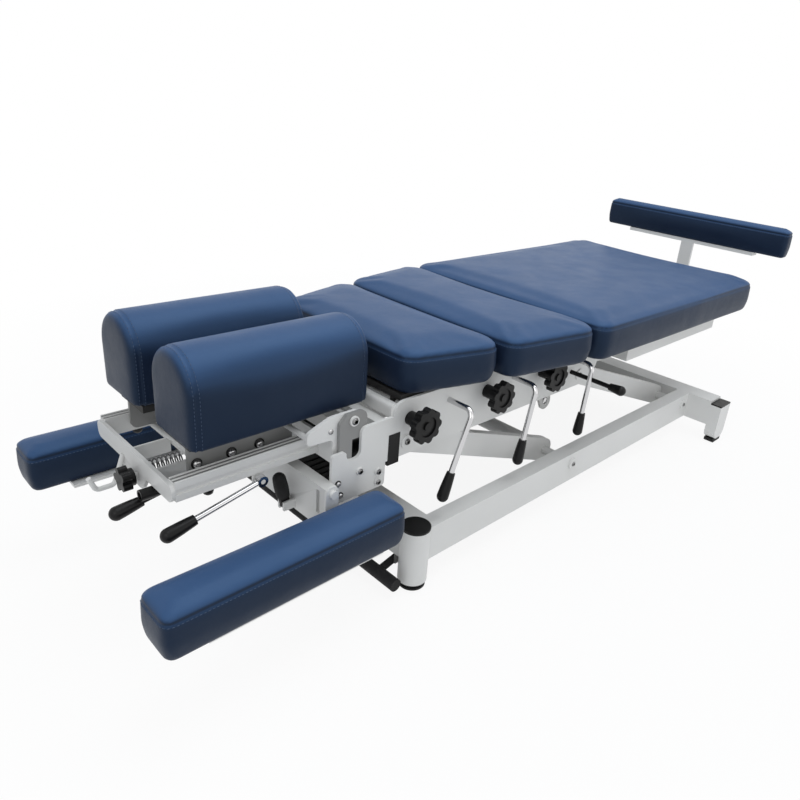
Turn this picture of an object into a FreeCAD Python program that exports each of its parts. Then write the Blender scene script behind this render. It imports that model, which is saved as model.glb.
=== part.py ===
import FreeCAD, Part
import math
import os
import Sketcher

# Chiropractic drop table on a parallel-arm electric lift.
# +X runs to the foot end, +Y to the far side and +Z up. The origin is on the floor under the
# middle of the table, and every solid is drawn with the table at its lowest height.

Vector = FreeCAD.Vector

# Driving dimensions in millimetres and degrees, one row for each named size.
SIZES = {
    # Welded base of square tube
    "base_front_x": -499, "base_length": 1128, "tube_height": 70, "base_underside": 50,
    "rail_outer_y": 262, "rail_width": 35, "beam_width": 60, "rear_beam_half": 329,
    "front_post_radius": 27.5, "front_post_x": -484, "front_post_y": 246, "front_post_top": 122,
    "post_foot_top": 12, "rear_post_width": 30, "rear_post_top": 110, "rear_post_round": 22,
    "cap_height": 4, "cap_round": 2, "foot_radius": 25, "foot_waist": 21, "rear_foot_length": 46,
    "rear_foot_width": 26, "rear_foot_height": 11, "foot_round": 4,
    # Foot control bar below the front beam
    "foot_bar_radius": 12, "foot_bar_half": 258, "foot_bar_drop": 37, "foot_bar_height": 26,
    "foot_hinge_height": 38, "foot_hinge_setback": 9, "foot_ear_y": 205, "foot_ear_width": 5,
    "foot_ear_half_height": 9, "foot_bracket_width": 4, "foot_pin_radius": 4,
    # Parallel lifting arms and their shafts
    "axle_height": 95, "front_axle_x": -9, "rear_axle_x": 537, "arm_length": 492,
    "lift_rest_angle": 20.6, "arm_outer_y": 183, "arm_thickness": 20, "arm_foot_radius": 27.5,
    "arm_tip_radius": 23, "axle_radius": 10, "axle_head_radius": 13, "axle_head_height": 5,
    "running_gap": 0.06, "open_pivot_gap": 0.5, "torque_tube_radius": 17, "shaft_tube_radius": 21,
    "side_gap": 0.4,
    # Slotted lift lever and electric actuator
    "lever_plate_y": 80, "lever_plate_thickness": 6, "lever_depth": 120, "lever_rest_lean": 21.5,
    "lever_hub_radius": 34, "lever_tip_radius": 21, "lever_slot_half_width": 7.5,
    "lever_slot_above": 5, "lever_slot_below": 14, "lever_web_length": 74, "lever_web_radius": 13,
    "lever_web_angle": 36, "actuator_pin_radius": 6, "actuator_rod_radius": 12,
    "actuator_tube_radius": 25, "actuator_tube_front_x": -523,
    "actuator_tube_rear_x": -4, "actuator_bore_depth": 128, "actuator_rod_front_x": -28,
    "clevis_length": 40, "clevis_half": 13, "motor_front_x": -604, "motor_half_width": 58,
    "motor_underside": 119, "motor_top": 234, "motor_round": 12, "motor_rib_depth": 3,
    "motor_rib_width": 6,
    # Side plates and members of the lifting frame
    "plate_outer_y": 190, "plate_thickness": 6, "plate_top": 350, "plate_underside": 242,
    "plate_front_x": -503, "plate_step_x": -22, "plate_rear_x": 129, "tongue_rear_x": 699, "tongue_top": 338,
    "tongue_underside": 285, "tongue_start_x": 149, "lug_front_x": -633, "lug_rear_x": -517,
    "lug_underside": 197, "horn_top": 291, "horn_rear_x": -604, "notch_front_x": -603,
    "notch_rear_x": -573, "notch_floor": 272, "shoulder_top": 325, "plate_round": 24,
    "lug_round": 12, "slot_front_x": -512, "slot_rear_x": -486, "slot_underside": 232,
    "slot_top": 292, "slot_insert_proud": 0.6, "bolt_radius": 7, "bolt_head_height": 3.5,
    "front_channel_x": -540, "front_channel_length": 34, "front_channel_underside": 280,
    "front_channel_top": 316, "channel_step": 12, "mid_channel_x": -250,
    "mid_channel_length": 30, "rear_channel_x": 622, "rear_channel_length": 42,
    "crossbar_thickness": 22, "crossbar_half": 204, "crossbar_underside": 165,
    "crossbar_top": 244, "crossbar_slot_y": 184, "crossbar_slot_width": 9,
    "crossbar_slot_length": 44, "crossbar_slot_depth": 5, "motor_lug_half": 12,
    "motor_lug_height": 30, "pelvic_rail_outer_y": 230, "pelvic_rail_underside": 284,
    "pelvic_rail_top": 337, "pelvic_rail_front_x": 215,
    # Drop boards, their hinge rods and cushions
    "hinge_rod_radius": 5, "hinge_height": 331, "hinge_ear_y": 156, "hinge_ear_width": 8,
    "hinge_ear_radius": 10, "board_half": 177, "board_thickness": 12, "pad_underside": 354,
    "pad_top": 440, "pelvic_pad_underside": 348, "pelvic_board_half": 176,
    "thoracic_front_x": -480, "thoracic_rear_x": -273, "thoracic_front_half": 188,
    "thoracic_rear_half": 244, "lumbar_front_x": -265, "lumbar_rear_x": -26,
    "lumbar_front_half": 246, "lumbar_rear_half": 289, "pelvic_front_x": -18,
    "pelvic_rear_x": 753, "pelvic_front_half": 290, "pelvic_rear_half": 300,
    "pad_corner": 34, "pad_edge": 13, "pad_crown": 4, "pad_tuck": 4, "board_margin": 5,
    "thoracic_hinge_x": -466, "lumbar_hinge_x": -40, "pelvic_hinge_x": 692,
    # Cocking levers and tension knobs
    "lever_shaft_radius": 5.5, "lever_shaft_height": 322, "thoracic_lever_x": -366,
    "lumbar_lever_x": -176, "pelvic_lever_x": 27, "lever_reach_y": 250, "lever_inner_y": 128,
    "lever_bend": 16, "lever_drop": 112, "grip_length": 54, "grip_neck_radius": 8,
    "grip_end_radius": 11, "cam_gap": 0.5, "cam_offset": 11.5, "cam_width": 12, "cam_y": 140,
    "knob_height": 313, "thoracic_knob_x": -464, "lumbar_knob_x": -259, "pelvic_knob_x": -79,
    "knob_hub_radius": 13, "knob_hub_length": 31, "knob_disc_radius": 28,
    "knob_disc_thickness": 15, "knob_lobe_radius": 8, "knob_lobe_ring": 24.5,
    "knob_dish_radius": 19, "knob_dish_depth": 3, "knob_cap_radius": 8, "knob_stud_radius": 5,
    "knob_stud_length": 22, "rear_lever_x": 41, "rear_lever_drop": 53,
    "rear_lever_radius": 5, "rear_lever_grip_y": 292, "rear_lever_end_y": 330,
    # Head section
    "head_pivot_x": -586, "head_pivot_height": 340, "head_arm_thickness": 6,
    "bracket_thickness": 7, "bracket_reach": 28, "bracket_stem_rear_x": -588, "bracket_chin": 306,
    "bracket_foot": 262, "bracket_round": 13,
    "head_arm_front_x": -684, "head_arm_top": 354, "head_arm_foot": 300, "head_arm_chest_x": -628,
    "head_arm_brow": 324, "head_arm_rear_x": -571, "head_arm_neck": 320, "head_arm_heel_x": -606,
    "head_arm_underside": 262, "head_arm_round": 7, "head_pivot_radius": 5.5, "cross_plate_x": -618,
    "cross_plate_thickness": 6, "cross_plate_underside": 264, "cross_plate_top": 306,
    "head_rail_outer_y": 133, "head_rail_width": 20, "head_rail_underside": 270,
    "head_rail_top": 301, "head_rail_front_x": -866, "rail_groove_height": 9,
    "rail_groove_depth": 3, "front_plate_thickness": 6, "front_plate_top": 299,
    "front_plate_lobe_radius": 15, "front_plate_dip": 243, "front_plate_dip_half": 30,
    "front_plate_waist": 268, "hook_radius": 4, "hook_y": 34, "hook_reach": 46,
    "hook_rise": 24, "hook_height": 251, "hook_bend": 9, "stud_y": -16, "stud_height": 262,
    "stud_radius": 5, "stud_length": 14, "star_radius": 14, "star_thickness": 14,
    "star_lobe_radius": 6, "carriage_outer_y": 103, "carriage_thickness": 6,
    "carriage_underside": 281, "carriage_front_x": -831, "carriage_rear_x": -650,
    "drop_hinge_x": -662, "drop_hinge_height": 322, "head_board_inner_y": 36,
    "head_board_outer_y": 118, "head_board_thickness": 12, "head_board_front_x": -834,
    "head_board_rear_x": -548, "head_pad_inner_y": 30, "head_pad_outer_y": 152,
    "head_pad_front_x": -848, "head_pad_rear_x": -526, "head_pad_underside": 347,
    "head_pad_top": 490, "head_pad_end_round": 14,
    # Levers of the head section
    "head_lever_y": 143, "head_lever_x": -733, "head_lever_drop": 8,
    "head_lever_rod_radius": 5, "head_lever_rod_length": 114, "head_lever_lean": 12.5,
    "head_grip_length": 54, "head_lever_eye": 9, "head_lever_eye_width": 10.4, "release_y": 52,
    "release_x": -792, "release_drop": 21, "release_rod_length": 92, "release_lean": 10,
    "release_grip_length": 50, "sleeve_y": 66, "sleeve_rise": 3, "sleeve_radius": 9,
    "sleeve_rod_length": 36, "sleeve_length": 63, "sleeve_bore_radius": 6, "sleeve_bore_depth": 4, "tilt_lever_y": 112,
    "tilt_lever_x": -670, "tilt_lever_height": 178, "tilt_lever_radius": 11,
    "tilt_lever_length": 47, "tilt_lever_tail": 18, "tilt_lever_lean": 12, "tilt_lug_width": 5,
    "tilt_eye_radius": 8, "small_pin_radius": 4, "lever_lug_width": 4,
    "release_rod_height": 275,
    # Armrests
    "armrest_front_x": -965, "armrest_rear_x": -551, "armrest_inner_y": 211,
    "armrest_outer_y": 293, "armrest_underside": 144, "armrest_top": 226,
    "armrest_corner": 14, "armrest_edge": 11, "armrest_plate": 6, "armrest_plate_outer_y": 280,
    "armrest_plate_front_x": -900, "armrest_plate_rear_x": -592, "armrest_pivot_x": -645,
    "armrest_pivot_height": 236, "armrest_pin_radius": 7, "armrest_pin_reach": 11,
    "armrest_ear_radius": 13, "armrest_ear_length": 50, "armrest_ear_thickness": 4.5,
    # Ankle rest
    "ankle_pad_front_x": 919, "ankle_pad_rear_x": 965, "ankle_pad_half": 300,
    "ankle_pad_underside": 476, "ankle_pad_top": 560, "ankle_corner": 12, "ankle_edge": 9,
    "ankle_strip_half": 209, "ankle_strip_height": 10, "ankle_strip_depth": 34,
    "ankle_post_x": 925, "ankle_post_thickness": 9, "ankle_post_half": 20,
    "ankle_bar_height": 12, "ankle_bar_underside": 303, "ankle_bar_front_x": 470,
    "ankle_slide_gap": 0.4,
}

# Cushion outline rows: share of the height, then share of the edge radius drawn in.
PAD_ROW_SHARES = ((0.0, 0.62), (0.06, 0.34), (0.2, 0.2), (0.42, 0.0), (0.66, 0.06))
PAD_EDGE_SHARES = ((0.0, 0.14), (0.3, 0.32), (0.62, 0.62), (0.86, 0.98), (1.0, 1.5))
PAD_CROWN_SHARES = ((0.45, 0.12), (0.8, 0.32), (1.0, 0.6))

doc = FreeCAD.newDocument("chiropractic_table")
sheet = doc.addObject("Spreadsheet::Sheet", "sizes")


class Size:
    """A size of the sheet, or a sum of such sizes: its number and its expression."""

    def __init__(self, number, text):
        self.number = float(number)
        self.text = text

    def joined(self, other, sign, number):
        text = other.text if isinstance(other, Size) else repr(other)
        return Size(number, "(%s %s %s)" % (self.text, sign, text))

    def __float__(self):
        return self.number

    def __add__(self, other):
        return self.joined(other, "+", self.number + float(other))

    def __radd__(self, other):
        return self + other

    def __sub__(self, other):
        return self.joined(other, "-", self.number - float(other))

    def __mul__(self, other):
        return self.joined(other, "*", self.number * float(other))

    def __rmul__(self, other):
        return self * other

    def __truediv__(self, other):
        return self.joined(other, "/", self.number / float(other))

    def __neg__(self):
        return self * -1


class SizeBook:
    """The sheet's rows, read as attributes."""


size = SizeBook()
for row, (name, number) in enumerate(SIZES.items(), start=1):
    sheet.set("A%d" % row, name)
    sheet.set("B%d" % row, str(number))
    sheet.setAlias("B%d" % row, name)
    setattr(size, name, Size(number, "sizes." + name))
doc.recompute()


def cosine(angle):
    return Size(math.cos(math.radians(float(angle))), "cos(%s)" % angle.text)


def sine(angle):
    return Size(math.sin(math.radians(float(angle))), "sin(%s)" % angle.text)


def bind(item, prop, amount):
    """Ties a property to its sizes."""
    if isinstance(amount, Size):
        item.setExpression(prop, amount.text)
    else:
        item.setExpression(prop, repr(amount))


def place(item, x, y, z):
    bind(item, "Placement.Base.x", x)
    bind(item, "Placement.Base.y", y)
    bind(item, "Placement.Base.z", z)


def block(name, low, high):
    """Straight block between two corners."""
    item = doc.addObject("Part::Box", name)
    place(item, *low)
    for prop, start, end in zip(("Length", "Width", "Height"), low, high):
        bind(item, prop, end - start)
    return item


TURNS = {"X": FreeCAD.Rotation(Vector(0, 1, 0), 90), "Y": FreeCAD.Rotation(Vector(1, 0, 0), -90),
         "Z": FreeCAD.Rotation()}


def rod(name, axis, start, length, radius):
    """Round bar along an axis, from its start towards the axis's positive end."""
    item = doc.addObject("Part::Cylinder", name)
    item.Placement = FreeCAD.Placement(Vector(0, 0, 0), TURNS[axis])
    place(item, *start)
    bind(item, "Radius", radius)
    bind(item, "Height", length)
    return item


def cross_rod(name, x, z, y_from, y_to, radius):
    """Round bar across the table."""
    return rod(name, "Y", (x, y_from, z), y_to - y_from, radius)


def fuse(name, items):
    item = doc.addObject("Part::MultiFuse", name)
    item.Shapes = items
    return item


def cut(name, base, tools):
    item = doc.addObject("Part::Cut", name)
    item.Base = base
    item.Tool = tools[0] if len(tools) == 1 else fuse(name + "_tools", tools)
    return item


def group(name, items):
    """Separate solids that share one name."""
    item = doc.addObject("Part::Compound", name)
    item.Links = items
    return item


def feature(name, shape):
    item = doc.addObject("Part::Feature", name)
    item.Shape = shape
    return item


def origin_plane(body, role):
    return [item for item in body.Origin.OriginFeatures if item.Role == role][0]


def new_sketch(body, name, role):
    sketch = body.newObject("Sketcher::SketchObject", name)
    sketch.AttachmentSupport = (origin_plane(body, role), [""])
    sketch.MapMode = "FlatFace"
    return sketch


def pin_point(sketch, curve, end, x, y):
    """Holds one end of a sketch curve at a place given in sizes."""
    for kind, amount in (("DistanceX", x), ("DistanceY", y)):
        row = sketch.addConstraint(Sketcher.Constraint(kind, -1, 1, curve, end, float(amount)))
        if isinstance(amount, Size):
            sketch.setExpression("Constraints[%d]" % row, amount.text)


def profile(name, role, points, thickness, middle, rounds=()):
    """Flat piece cut from plate: its outline, its thickness and the middle of that thickness.

    The outline lies in the XZ or YZ plane. Each entry of rounds is a radius with the numbers of
    the outline's corners that it rounds."""
    body = doc.addObject("PartDesign::Body", name)
    sketch = new_sketch(body, name + "_outline", role)
    spots = [Vector(float(x), float(y), 0) for x, y in points]
    count = len(spots)
    for corner in range(count):
        sketch.addGeometry(Part.LineSegment(spots[corner], spots[(corner + 1) % count]), False)
    for corner in range(count):
        sketch.addConstraint(Sketcher.Constraint("Coincident", corner, 2, (corner + 1) % count, 1))
    for corner, (x, y) in enumerate(points):
        pin_point(sketch, corner, 1, x, y)
    pad = body.newObject("PartDesign::Pad", name + "_pad")
    pad.Profile = sketch
    pad.SideType = "Symmetric"
    bind(pad, "Length", thickness)
    doc.recompute()
    along_y = role == "XZ_Plane"
    last = pad
    for number, (radius, corners) in enumerate(rounds):
        edges = []
        for index, edge in enumerate(last.Shape.Edges, start=1):
            ends = edge.Vertexes
            if len(ends) != 2:
                continue
            flat = [(v.X, v.Z) if along_y else (v.Y, v.Z) for v in ends]
            if math.dist(flat[0], flat[1]) > Part.Precision.confusion() * len(points):
                continue
            for corner in corners:
                if math.dist(flat[0], (spots[corner].x, spots[corner].y)) < float(radius) / count:
                    edges.append("Edge%d" % index)
        fillet = body.newObject("PartDesign::Fillet", "%s_round_%d" % (name, number))
        fillet.Base = (last, edges)
        bind(fillet, "Radius", radius)
        doc.recompute()
        last = fillet
    bind(body, "Placement.Base.y" if along_y else "Placement.Base.x", middle)
    return body


def link(name, length, near_radius, far_radius, thickness):
    """Flat link with two round ends, drawn along +X from its first centre."""
    body = doc.addObject("PartDesign::Body", name)
    sketch = new_sketch(body, name + "_outline", "XZ_Plane")
    near, far, long = float(near_radius), float(far_radius), float(length)
    lean = math.asin((near - far) / long)
    rise, run = math.cos(lean), math.sin(lean)
    top = (Vector(near * run, near * rise, 0), Vector(long + far * run, far * rise, 0))
    low = (Vector(long + far * run, -far * rise, 0), Vector(near * run, -near * rise, 0))
    up = Vector(0, 0, 1)
    sketch.addGeometry(Part.LineSegment(*top), False)
    sketch.addGeometry(Part.LineSegment(*low), False)
    sketch.addGeometry(Part.ArcOfCircle(Part.Circle(Vector(long, 0, 0), up, far),
                                        lean - math.pi / 2, math.pi / 2 - lean), False)
    sketch.addGeometry(Part.ArcOfCircle(Part.Circle(Vector(0, 0, 0), up, near),
                                        math.pi / 2 - lean, 3 * math.pi / 2 + lean), False)
    for first, end, second, start in ((0, 2, 2, 2), (2, 1, 1, 1), (1, 2, 3, 2), (3, 1, 0, 1)):
        sketch.addConstraint(Sketcher.Constraint("Tangent", first, end, second, start))
    sketch.addConstraint(Sketcher.Constraint("Coincident", 3, 3, -1, 1))
    pin_point(sketch, 2, 3, length, 0)
    for curve, radius in ((3, near_radius), (2, far_radius)):
        row = sketch.addConstraint(Sketcher.Constraint("Radius", curve, float(radius)))
        sketch.setExpression("Constraints[%d]" % row, radius.text)
    pad = body.newObject("PartDesign::Pad", name + "_pad")
    pad.Profile = sketch
    pad.SideType = "Symmetric"
    bind(pad, "Length", thickness)
    return body


def swing(body, x, y, z, angle):
    """Turns a link about the cross axis and puts its first centre in place."""
    body.Placement = FreeCAD.Placement(Vector(0, 0, 0),
                                       FreeCAD.Rotation(Vector(0, 1, 0), angle.number))
    bind(body, "Placement.Rotation.Angle", angle)
    place(body, x, y, z)
    return body


def rounded_wire(points, radius, lift):
    """Closed wire through lift(x, y) for a convex outline with round corners."""
    edges = []
    starts = []
    count = len(points)
    for number, here in enumerate(points):
        before = Vector(*points[number - 1]) - Vector(*here)
        after = Vector(*points[(number + 1) % count]) - Vector(*here)
        before.normalize()
        after.normalize()
        half = before.getAngle(after) / 2
        reach = radius / math.tan(half)
        middle = (before + after).normalize() * (radius / math.sin(half) - radius)
        corner = Vector(*here)
        starts.append((corner + before * reach, corner + middle, corner + after * reach))
    for number in range(count):
        first, between, last = (lift(spot) for spot in starts[number])
        edges.append(Part.Arc(first, between, last).toShape())
        edges.append(Part.LineSegment(last, lift(starts[(number + 1) % count][0])).toShape())
    return Part.Wire(edges)


def inset_corners(points, amount):
    """Outline moved inward by an amount on every side, counter-clockwise points."""
    count = len(points)
    lines = []
    for number in range(count):
        start = Vector(*points[number])
        run = Vector(*points[(number + 1) % count]) - start
        run.normalize()
        lines.append((start + Vector(-run.y, run.x, 0) * amount, run))
    moved = []
    for number in range(count):
        (a, u), (b, v) = lines[number - 1], lines[number]
        share = ((b - a).x * v.y - (b - a).y * v.x) / (u.x * v.y - u.y * v.x)
        spot = a + u * share
        moved.append((spot.x, spot.y, 0))
    return moved


def cushion(name, corners, bottom, top, corner_radius, edge_radius, crown):
    """Upholstered block with drawn-in sides, a soft top edge and a low crown."""
    low, high = float(bottom), float(top)
    edge, rise, radius = float(edge_radius), float(crown), float(corner_radius)
    outline = [(float(x), float(y), 0) for x, y in corners]
    across = min(math.dist(outline[0], outline[1]), math.dist(outline[1], outline[2])) / 2
    side = high - rise - edge - low
    rows = [(low + share * side, tuck * edge) for share, tuck in PAD_ROW_SHARES]
    rows += [(low + side + share * edge, tuck * edge) for share, tuck in PAD_EDGE_SHARES]
    flank = PAD_EDGE_SHARES[-1][1] * edge
    rows += [(high - rise + share * rise, flank + tuck * (across - flank))
             for share, tuck in PAD_CROWN_SHARES]
    wires = []
    for height, inset in rows:
        bend = radius * (1 - inset / across)
        wires.append(rounded_wire(inset_corners(outline, inset), bend,
                                  lambda spot, z=height: Vector(spot.x, spot.y, z)))
    return feature(name, Part.makeLoft(wires, True, True))


def bolster(name, near_y, far_y, front_x, rear_x, bottom, top, end_round):
    """Head cushion: flat below, straight sides and a half-round top, with soft ends."""
    middle = (float(near_y) + float(far_y)) / 2
    half = (float(far_y) - float(near_y)) / 2
    low, high, soft = float(bottom), float(top), float(end_round)
    front, rear = float(front_x), float(rear_x)
    shares = ((0.0, 1.0), (0.12, 0.52), (0.4, 0.18), (0.75, 0.04), (1.0, 0.0))
    rows = [(front + share * soft, tuck * soft) for share, tuck in shares]
    rows += [(rear - share * soft, tuck * soft) for share, tuck in reversed(shares)]
    wires = []
    for place_x, inset in rows:
        radius = half - inset
        floor = low + inset / 2
        centre = high - half
        spots = [Vector(place_x, middle + radius * math.cos(turn), centre + radius * math.sin(turn))
                 for turn in (0, math.pi / 4, math.pi / 2, 3 * math.pi / 4, math.pi)]
        left = Vector(place_x, middle - radius, floor)
        right = Vector(place_x, middle + radius, floor)
        wires.append(Part.Wire([
            Part.LineSegment(right, spots[0]).toShape(),
            Part.Arc(*spots[0:3]).toShape(), Part.Arc(*spots[2:5]).toShape(),
            Part.LineSegment(spots[4], left).toShape(), Part.LineSegment(left, right).toShape()]))
    return feature(name, Part.makeLoft(wires, True, True))


def bent_rod(name, points, radius, bend):
    """Round bar along straight runs joined by arcs."""
    spots = [Vector(*(float(part) for part in point)) for point in points]
    edges = []
    start = spots[0]
    for before, corner, after in zip(spots, spots[1:], spots[2:]):
        back = (before - corner).normalize()
        ahead = (after - corner).normalize()
        half = back.getAngle(ahead) / 2
        reach = float(bend) / math.tan(half)
        middle = (back + ahead).normalize() * (float(bend) / math.sin(half) - float(bend))
        edges.append(Part.LineSegment(start, corner + back * reach).toShape())
        edges.append(Part.Arc(corner + back * reach, corner + middle,
                              corner + ahead * reach).toShape())
        start = corner + ahead * reach
    edges.append(Part.LineSegment(start, spots[-1]).toShape())
    spine = Part.Wire(edges)
    ring = Part.Wire([Part.makeCircle(float(radius), spots[0], spots[1] - spots[0])])
    return feature(name, spine.makePipeShell([ring], True, False))


def hand_grip(name, start, end, neck_radius, end_radius):
    """Moulded grip that swells from its neck to a domed end."""
    first = Vector(*(float(part) for part in start))
    last = Vector(*(float(part) for part in end))
    long = (last - first).Length
    neck, full = float(neck_radius), float(end_radius)
    swell = Part.Arc(Vector(neck, 0, 0), Vector((neck + full) / 2 + neck / full, 0, long / 2),
                     Vector(full, 0, long - full))
    dome = Part.Arc(Vector(full, 0, long - full),
                    Vector(full * math.sin(math.pi / 4), 0,
                           long - full + full * math.cos(math.pi / 4)),
                    Vector(0, 0, long))
    outline = Part.Wire([Part.LineSegment(Vector(0, 0, 0), Vector(neck, 0, 0)).toShape(),
                         swell.toShape(), dome.toShape(),
                         Part.LineSegment(Vector(0, 0, long), Vector(0, 0, 0)).toShape()])
    shape = Part.Face(outline).revolve(Vector(0, 0, 0), Vector(0, 0, 1), 360)
    turn = FreeCAD.Rotation(Vector(0, 0, 1), last - first)
    item = feature(name, shape)
    item.Placement = FreeCAD.Placement(first, turn)
    return item


def sides(build):
    """The near and the far copy of a piece: build gets the side's sign."""
    return [build(side, word) for side, word in ((-1, "near"), (1, "far"))]


def span(side, inner, outer):
    """Low and high y of a stretch between two distances from the middle."""
    return (side * outer, side * inner) if side < 0 else (side * inner, side * outer)


nodes = {}

# Base: two long rails butt against the cross beams, and the beams end in corner posts.
rear_beam_x = size.base_front_x + size.base_length - size.beam_width
front_beam_rear_x = size.base_front_x + size.beam_width
base_top = size.base_underside + size.tube_height
axle_bore = size.axle_radius + size.running_gap
rail_inner_y = size.rail_outer_y - size.rail_width


def axle_cutters(name, y_from, y_to, radius):
    return [cross_rod(name + "_front", size.front_axle_x, size.axle_height, y_from, y_to, radius),
            cross_rod(name + "_rear", size.rear_axle_x, size.axle_height, y_from, y_to, radius)]


def base_rail(side, word):
    y_from, y_to = span(side, rail_inner_y, size.rail_outer_y)
    tube = block("rail_tube_" + word, (front_beam_rear_x, y_from, size.base_underside),
                 (rear_beam_x, y_to, base_top))
    return cut("base_rail_" + word, tube, axle_cutters("rail_bore_" + word, y_from, y_to, axle_bore))


nodes["base_rails"] = group("base_rails", sides(base_rail))


def post_core(side, word, name, bottom, top, radius):
    return rod(name + "_" + word, "Z", (size.front_post_x, side * size.front_post_y, bottom),
               top - bottom, radius)


beam_bar = block("front_beam_tube",
                 (size.base_front_x, -size.rail_outer_y, size.base_underside),
                 (front_beam_rear_x, size.rail_outer_y, base_top))
beam_seats = sides(lambda side, word: post_core(side, word, "front_beam_seat", size.post_foot_top,
                                                size.front_post_top, size.front_post_radius))
nodes["front_cross_beam"] = cut("front_cross_beam", beam_bar, beam_seats)
nodes["rear_cross_beam"] = block("rear_cross_beam",
                                 (rear_beam_x, -size.rear_beam_half, size.base_underside),
                                 (rear_beam_x + size.beam_width, size.rear_beam_half, base_top))
front_posts = sides(lambda side, word: post_core(side, word, "front_post", size.post_foot_top,
                                                 size.front_post_top, size.front_post_radius))


def rear_post(side, word):
    """Flat post whose lower end is rounded in side view."""
    rear_x = rear_beam_x + size.beam_width
    foot = size.rear_foot_height
    outline = [(rear_beam_x, foot), (rear_x, foot), (rear_x, size.rear_post_top),
               (rear_beam_x, size.rear_post_top)]
    middle = side * (size.rear_beam_half + size.rear_post_width / 2)
    return profile("rear_post_" + word, "XZ_Plane", outline, size.rear_post_width, middle,
                   [(size.rear_post_round, (0, 1))])


nodes["corner_posts"] = group("corner_posts", front_posts + sides(rear_post))


def front_cap(side, word):
    disc = post_core(side, word, "front_cap_disc", size.front_post_top,
                     size.front_post_top + size.cap_height, size.front_post_radius)
    return disc


def rear_cap(side, word):
    y_from, y_to = span(side, size.rear_beam_half, size.rear_beam_half + size.rear_post_width)
    return block("rear_cap_" + word, (rear_beam_x, y_from, size.rear_post_top),
                 (rear_beam_x + size.beam_width, y_to, size.rear_post_top + size.cap_height))


nodes["post_caps"] = group("post_caps", sides(front_cap) + sides(rear_cap))


def front_foot(side, word):
    """Levelling foot: two rubber rings with a narrower waist."""
    third = size.post_foot_top / 3
    rings = [(third - third, third, size.foot_radius), (third, 2 * third, size.foot_waist),
             (2 * third, 3 * third, size.foot_radius)]
    return fuse("front_foot_" + word, [
        post_core(side, word, "foot_ring_%d" % number, bottom, top, radius)
        for number, (bottom, top, radius) in enumerate(rings)])


def rear_foot(side, word):
    middle_x = rear_beam_x + size.beam_width / 2
    outline = [(middle_x - size.rear_foot_length / 2, 0), (middle_x + size.rear_foot_length / 2, 0),
               (middle_x + size.rear_foot_length / 2, size.rear_foot_height),
               (middle_x - size.rear_foot_length / 2, size.rear_foot_height)]
    middle = side * (size.rear_beam_half + size.rear_post_width / 2)
    return profile("rear_foot_" + word, "XZ_Plane", outline, size.rear_foot_width, middle,
                   [(size.foot_round, (0, 1))])


nodes["feet"] = group("feet", sides(front_foot) + sides(rear_foot))


def base_axle(x, word):
    """Through axle with a domed head at each end."""
    shaft = cross_rod("axle_shaft_" + word, x, size.axle_height, -size.rail_outer_y,
                      size.rail_outer_y, size.axle_radius)
    heads = [cross_rod("axle_head_%s_%s" % (word, "near"), x, size.axle_height,
                       -size.rail_outer_y - size.axle_head_height, -size.rail_outer_y,
                       size.axle_head_radius),
             cross_rod("axle_head_%s_%s" % (word, "far"), x, size.axle_height, size.rail_outer_y,
                       size.rail_outer_y + size.axle_head_height, size.axle_head_radius)]
    return fuse("base_axle_" + word, [shaft] + heads)


nodes["base_axles"] = group("base_axles", [base_axle(size.front_axle_x, "front"),
                                           base_axle(size.rear_axle_x, "rear")])

# Foot control bar: a rubber bar on two ears that pivot in brackets under the front beam.
foot_bar_x = size.base_front_x - size.foot_bar_drop
foot_hinge_x = size.base_front_x + size.foot_hinge_setback
foot_ear_outer = size.foot_ear_y + size.foot_ear_width


def foot_bracket(side, word):
    """Hanging plate outside each ear, with its pivot pin."""
    inner = foot_ear_outer + size.side_gap
    y_from, y_to = span(side, inner, inner + size.foot_bracket_width)
    low = size.foot_hinge_height - size.foot_ear_half_height
    plate = block("foot_bracket_plate_" + word,
                  (foot_hinge_x - size.foot_ear_half_height, y_from, low),
                  (foot_hinge_x + size.foot_ear_half_height * 3, y_to, size.base_underside))
    pin_from, pin_to = span(side, size.foot_ear_y, inner + size.foot_bracket_width)
    pin = cross_rod("foot_pin_" + word, foot_hinge_x, size.foot_hinge_height, pin_from, pin_to,
                    size.foot_pin_radius)
    return fuse("foot_bracket_" + word, [plate, pin])


nodes["foot_bar_brackets"] = group("foot_bar_brackets", sides(foot_bracket))
foot_bar_tube = cross_rod("foot_bar_tube", foot_bar_x, size.foot_bar_height, -size.foot_bar_half,
                          size.foot_bar_half, size.foot_bar_radius)


def foot_ear(side, word):
    y_from, y_to = span(side, size.foot_ear_y, foot_ear_outer)
    middle = side * (size.foot_ear_y + size.foot_ear_width / 2)
    ear = size.foot_ear_half_height
    outline = [(foot_bar_x, size.foot_bar_height - ear),
               (foot_hinge_x, size.foot_hinge_height - ear),
               (foot_hinge_x + ear, size.foot_hinge_height),
               (foot_hinge_x, size.foot_hinge_height + ear),
               (foot_bar_x, size.foot_bar_height + ear)]
    plate = profile("foot_ear_plate_" + word, "XZ_Plane", outline, size.foot_ear_width, middle)
    return cut("foot_ear_" + word, plate, [
        cross_rod("foot_ear_bore_" + word, foot_hinge_x, size.foot_hinge_height, y_from, y_to,
                  size.foot_pin_radius + size.running_gap),
        cross_rod("foot_ear_seat_" + word, foot_bar_x, size.foot_bar_height, y_from, y_to,
                  size.foot_bar_radius)])


nodes["foot_bar"] = group("foot_bar", [foot_bar_tube] + sides(foot_ear))

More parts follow.
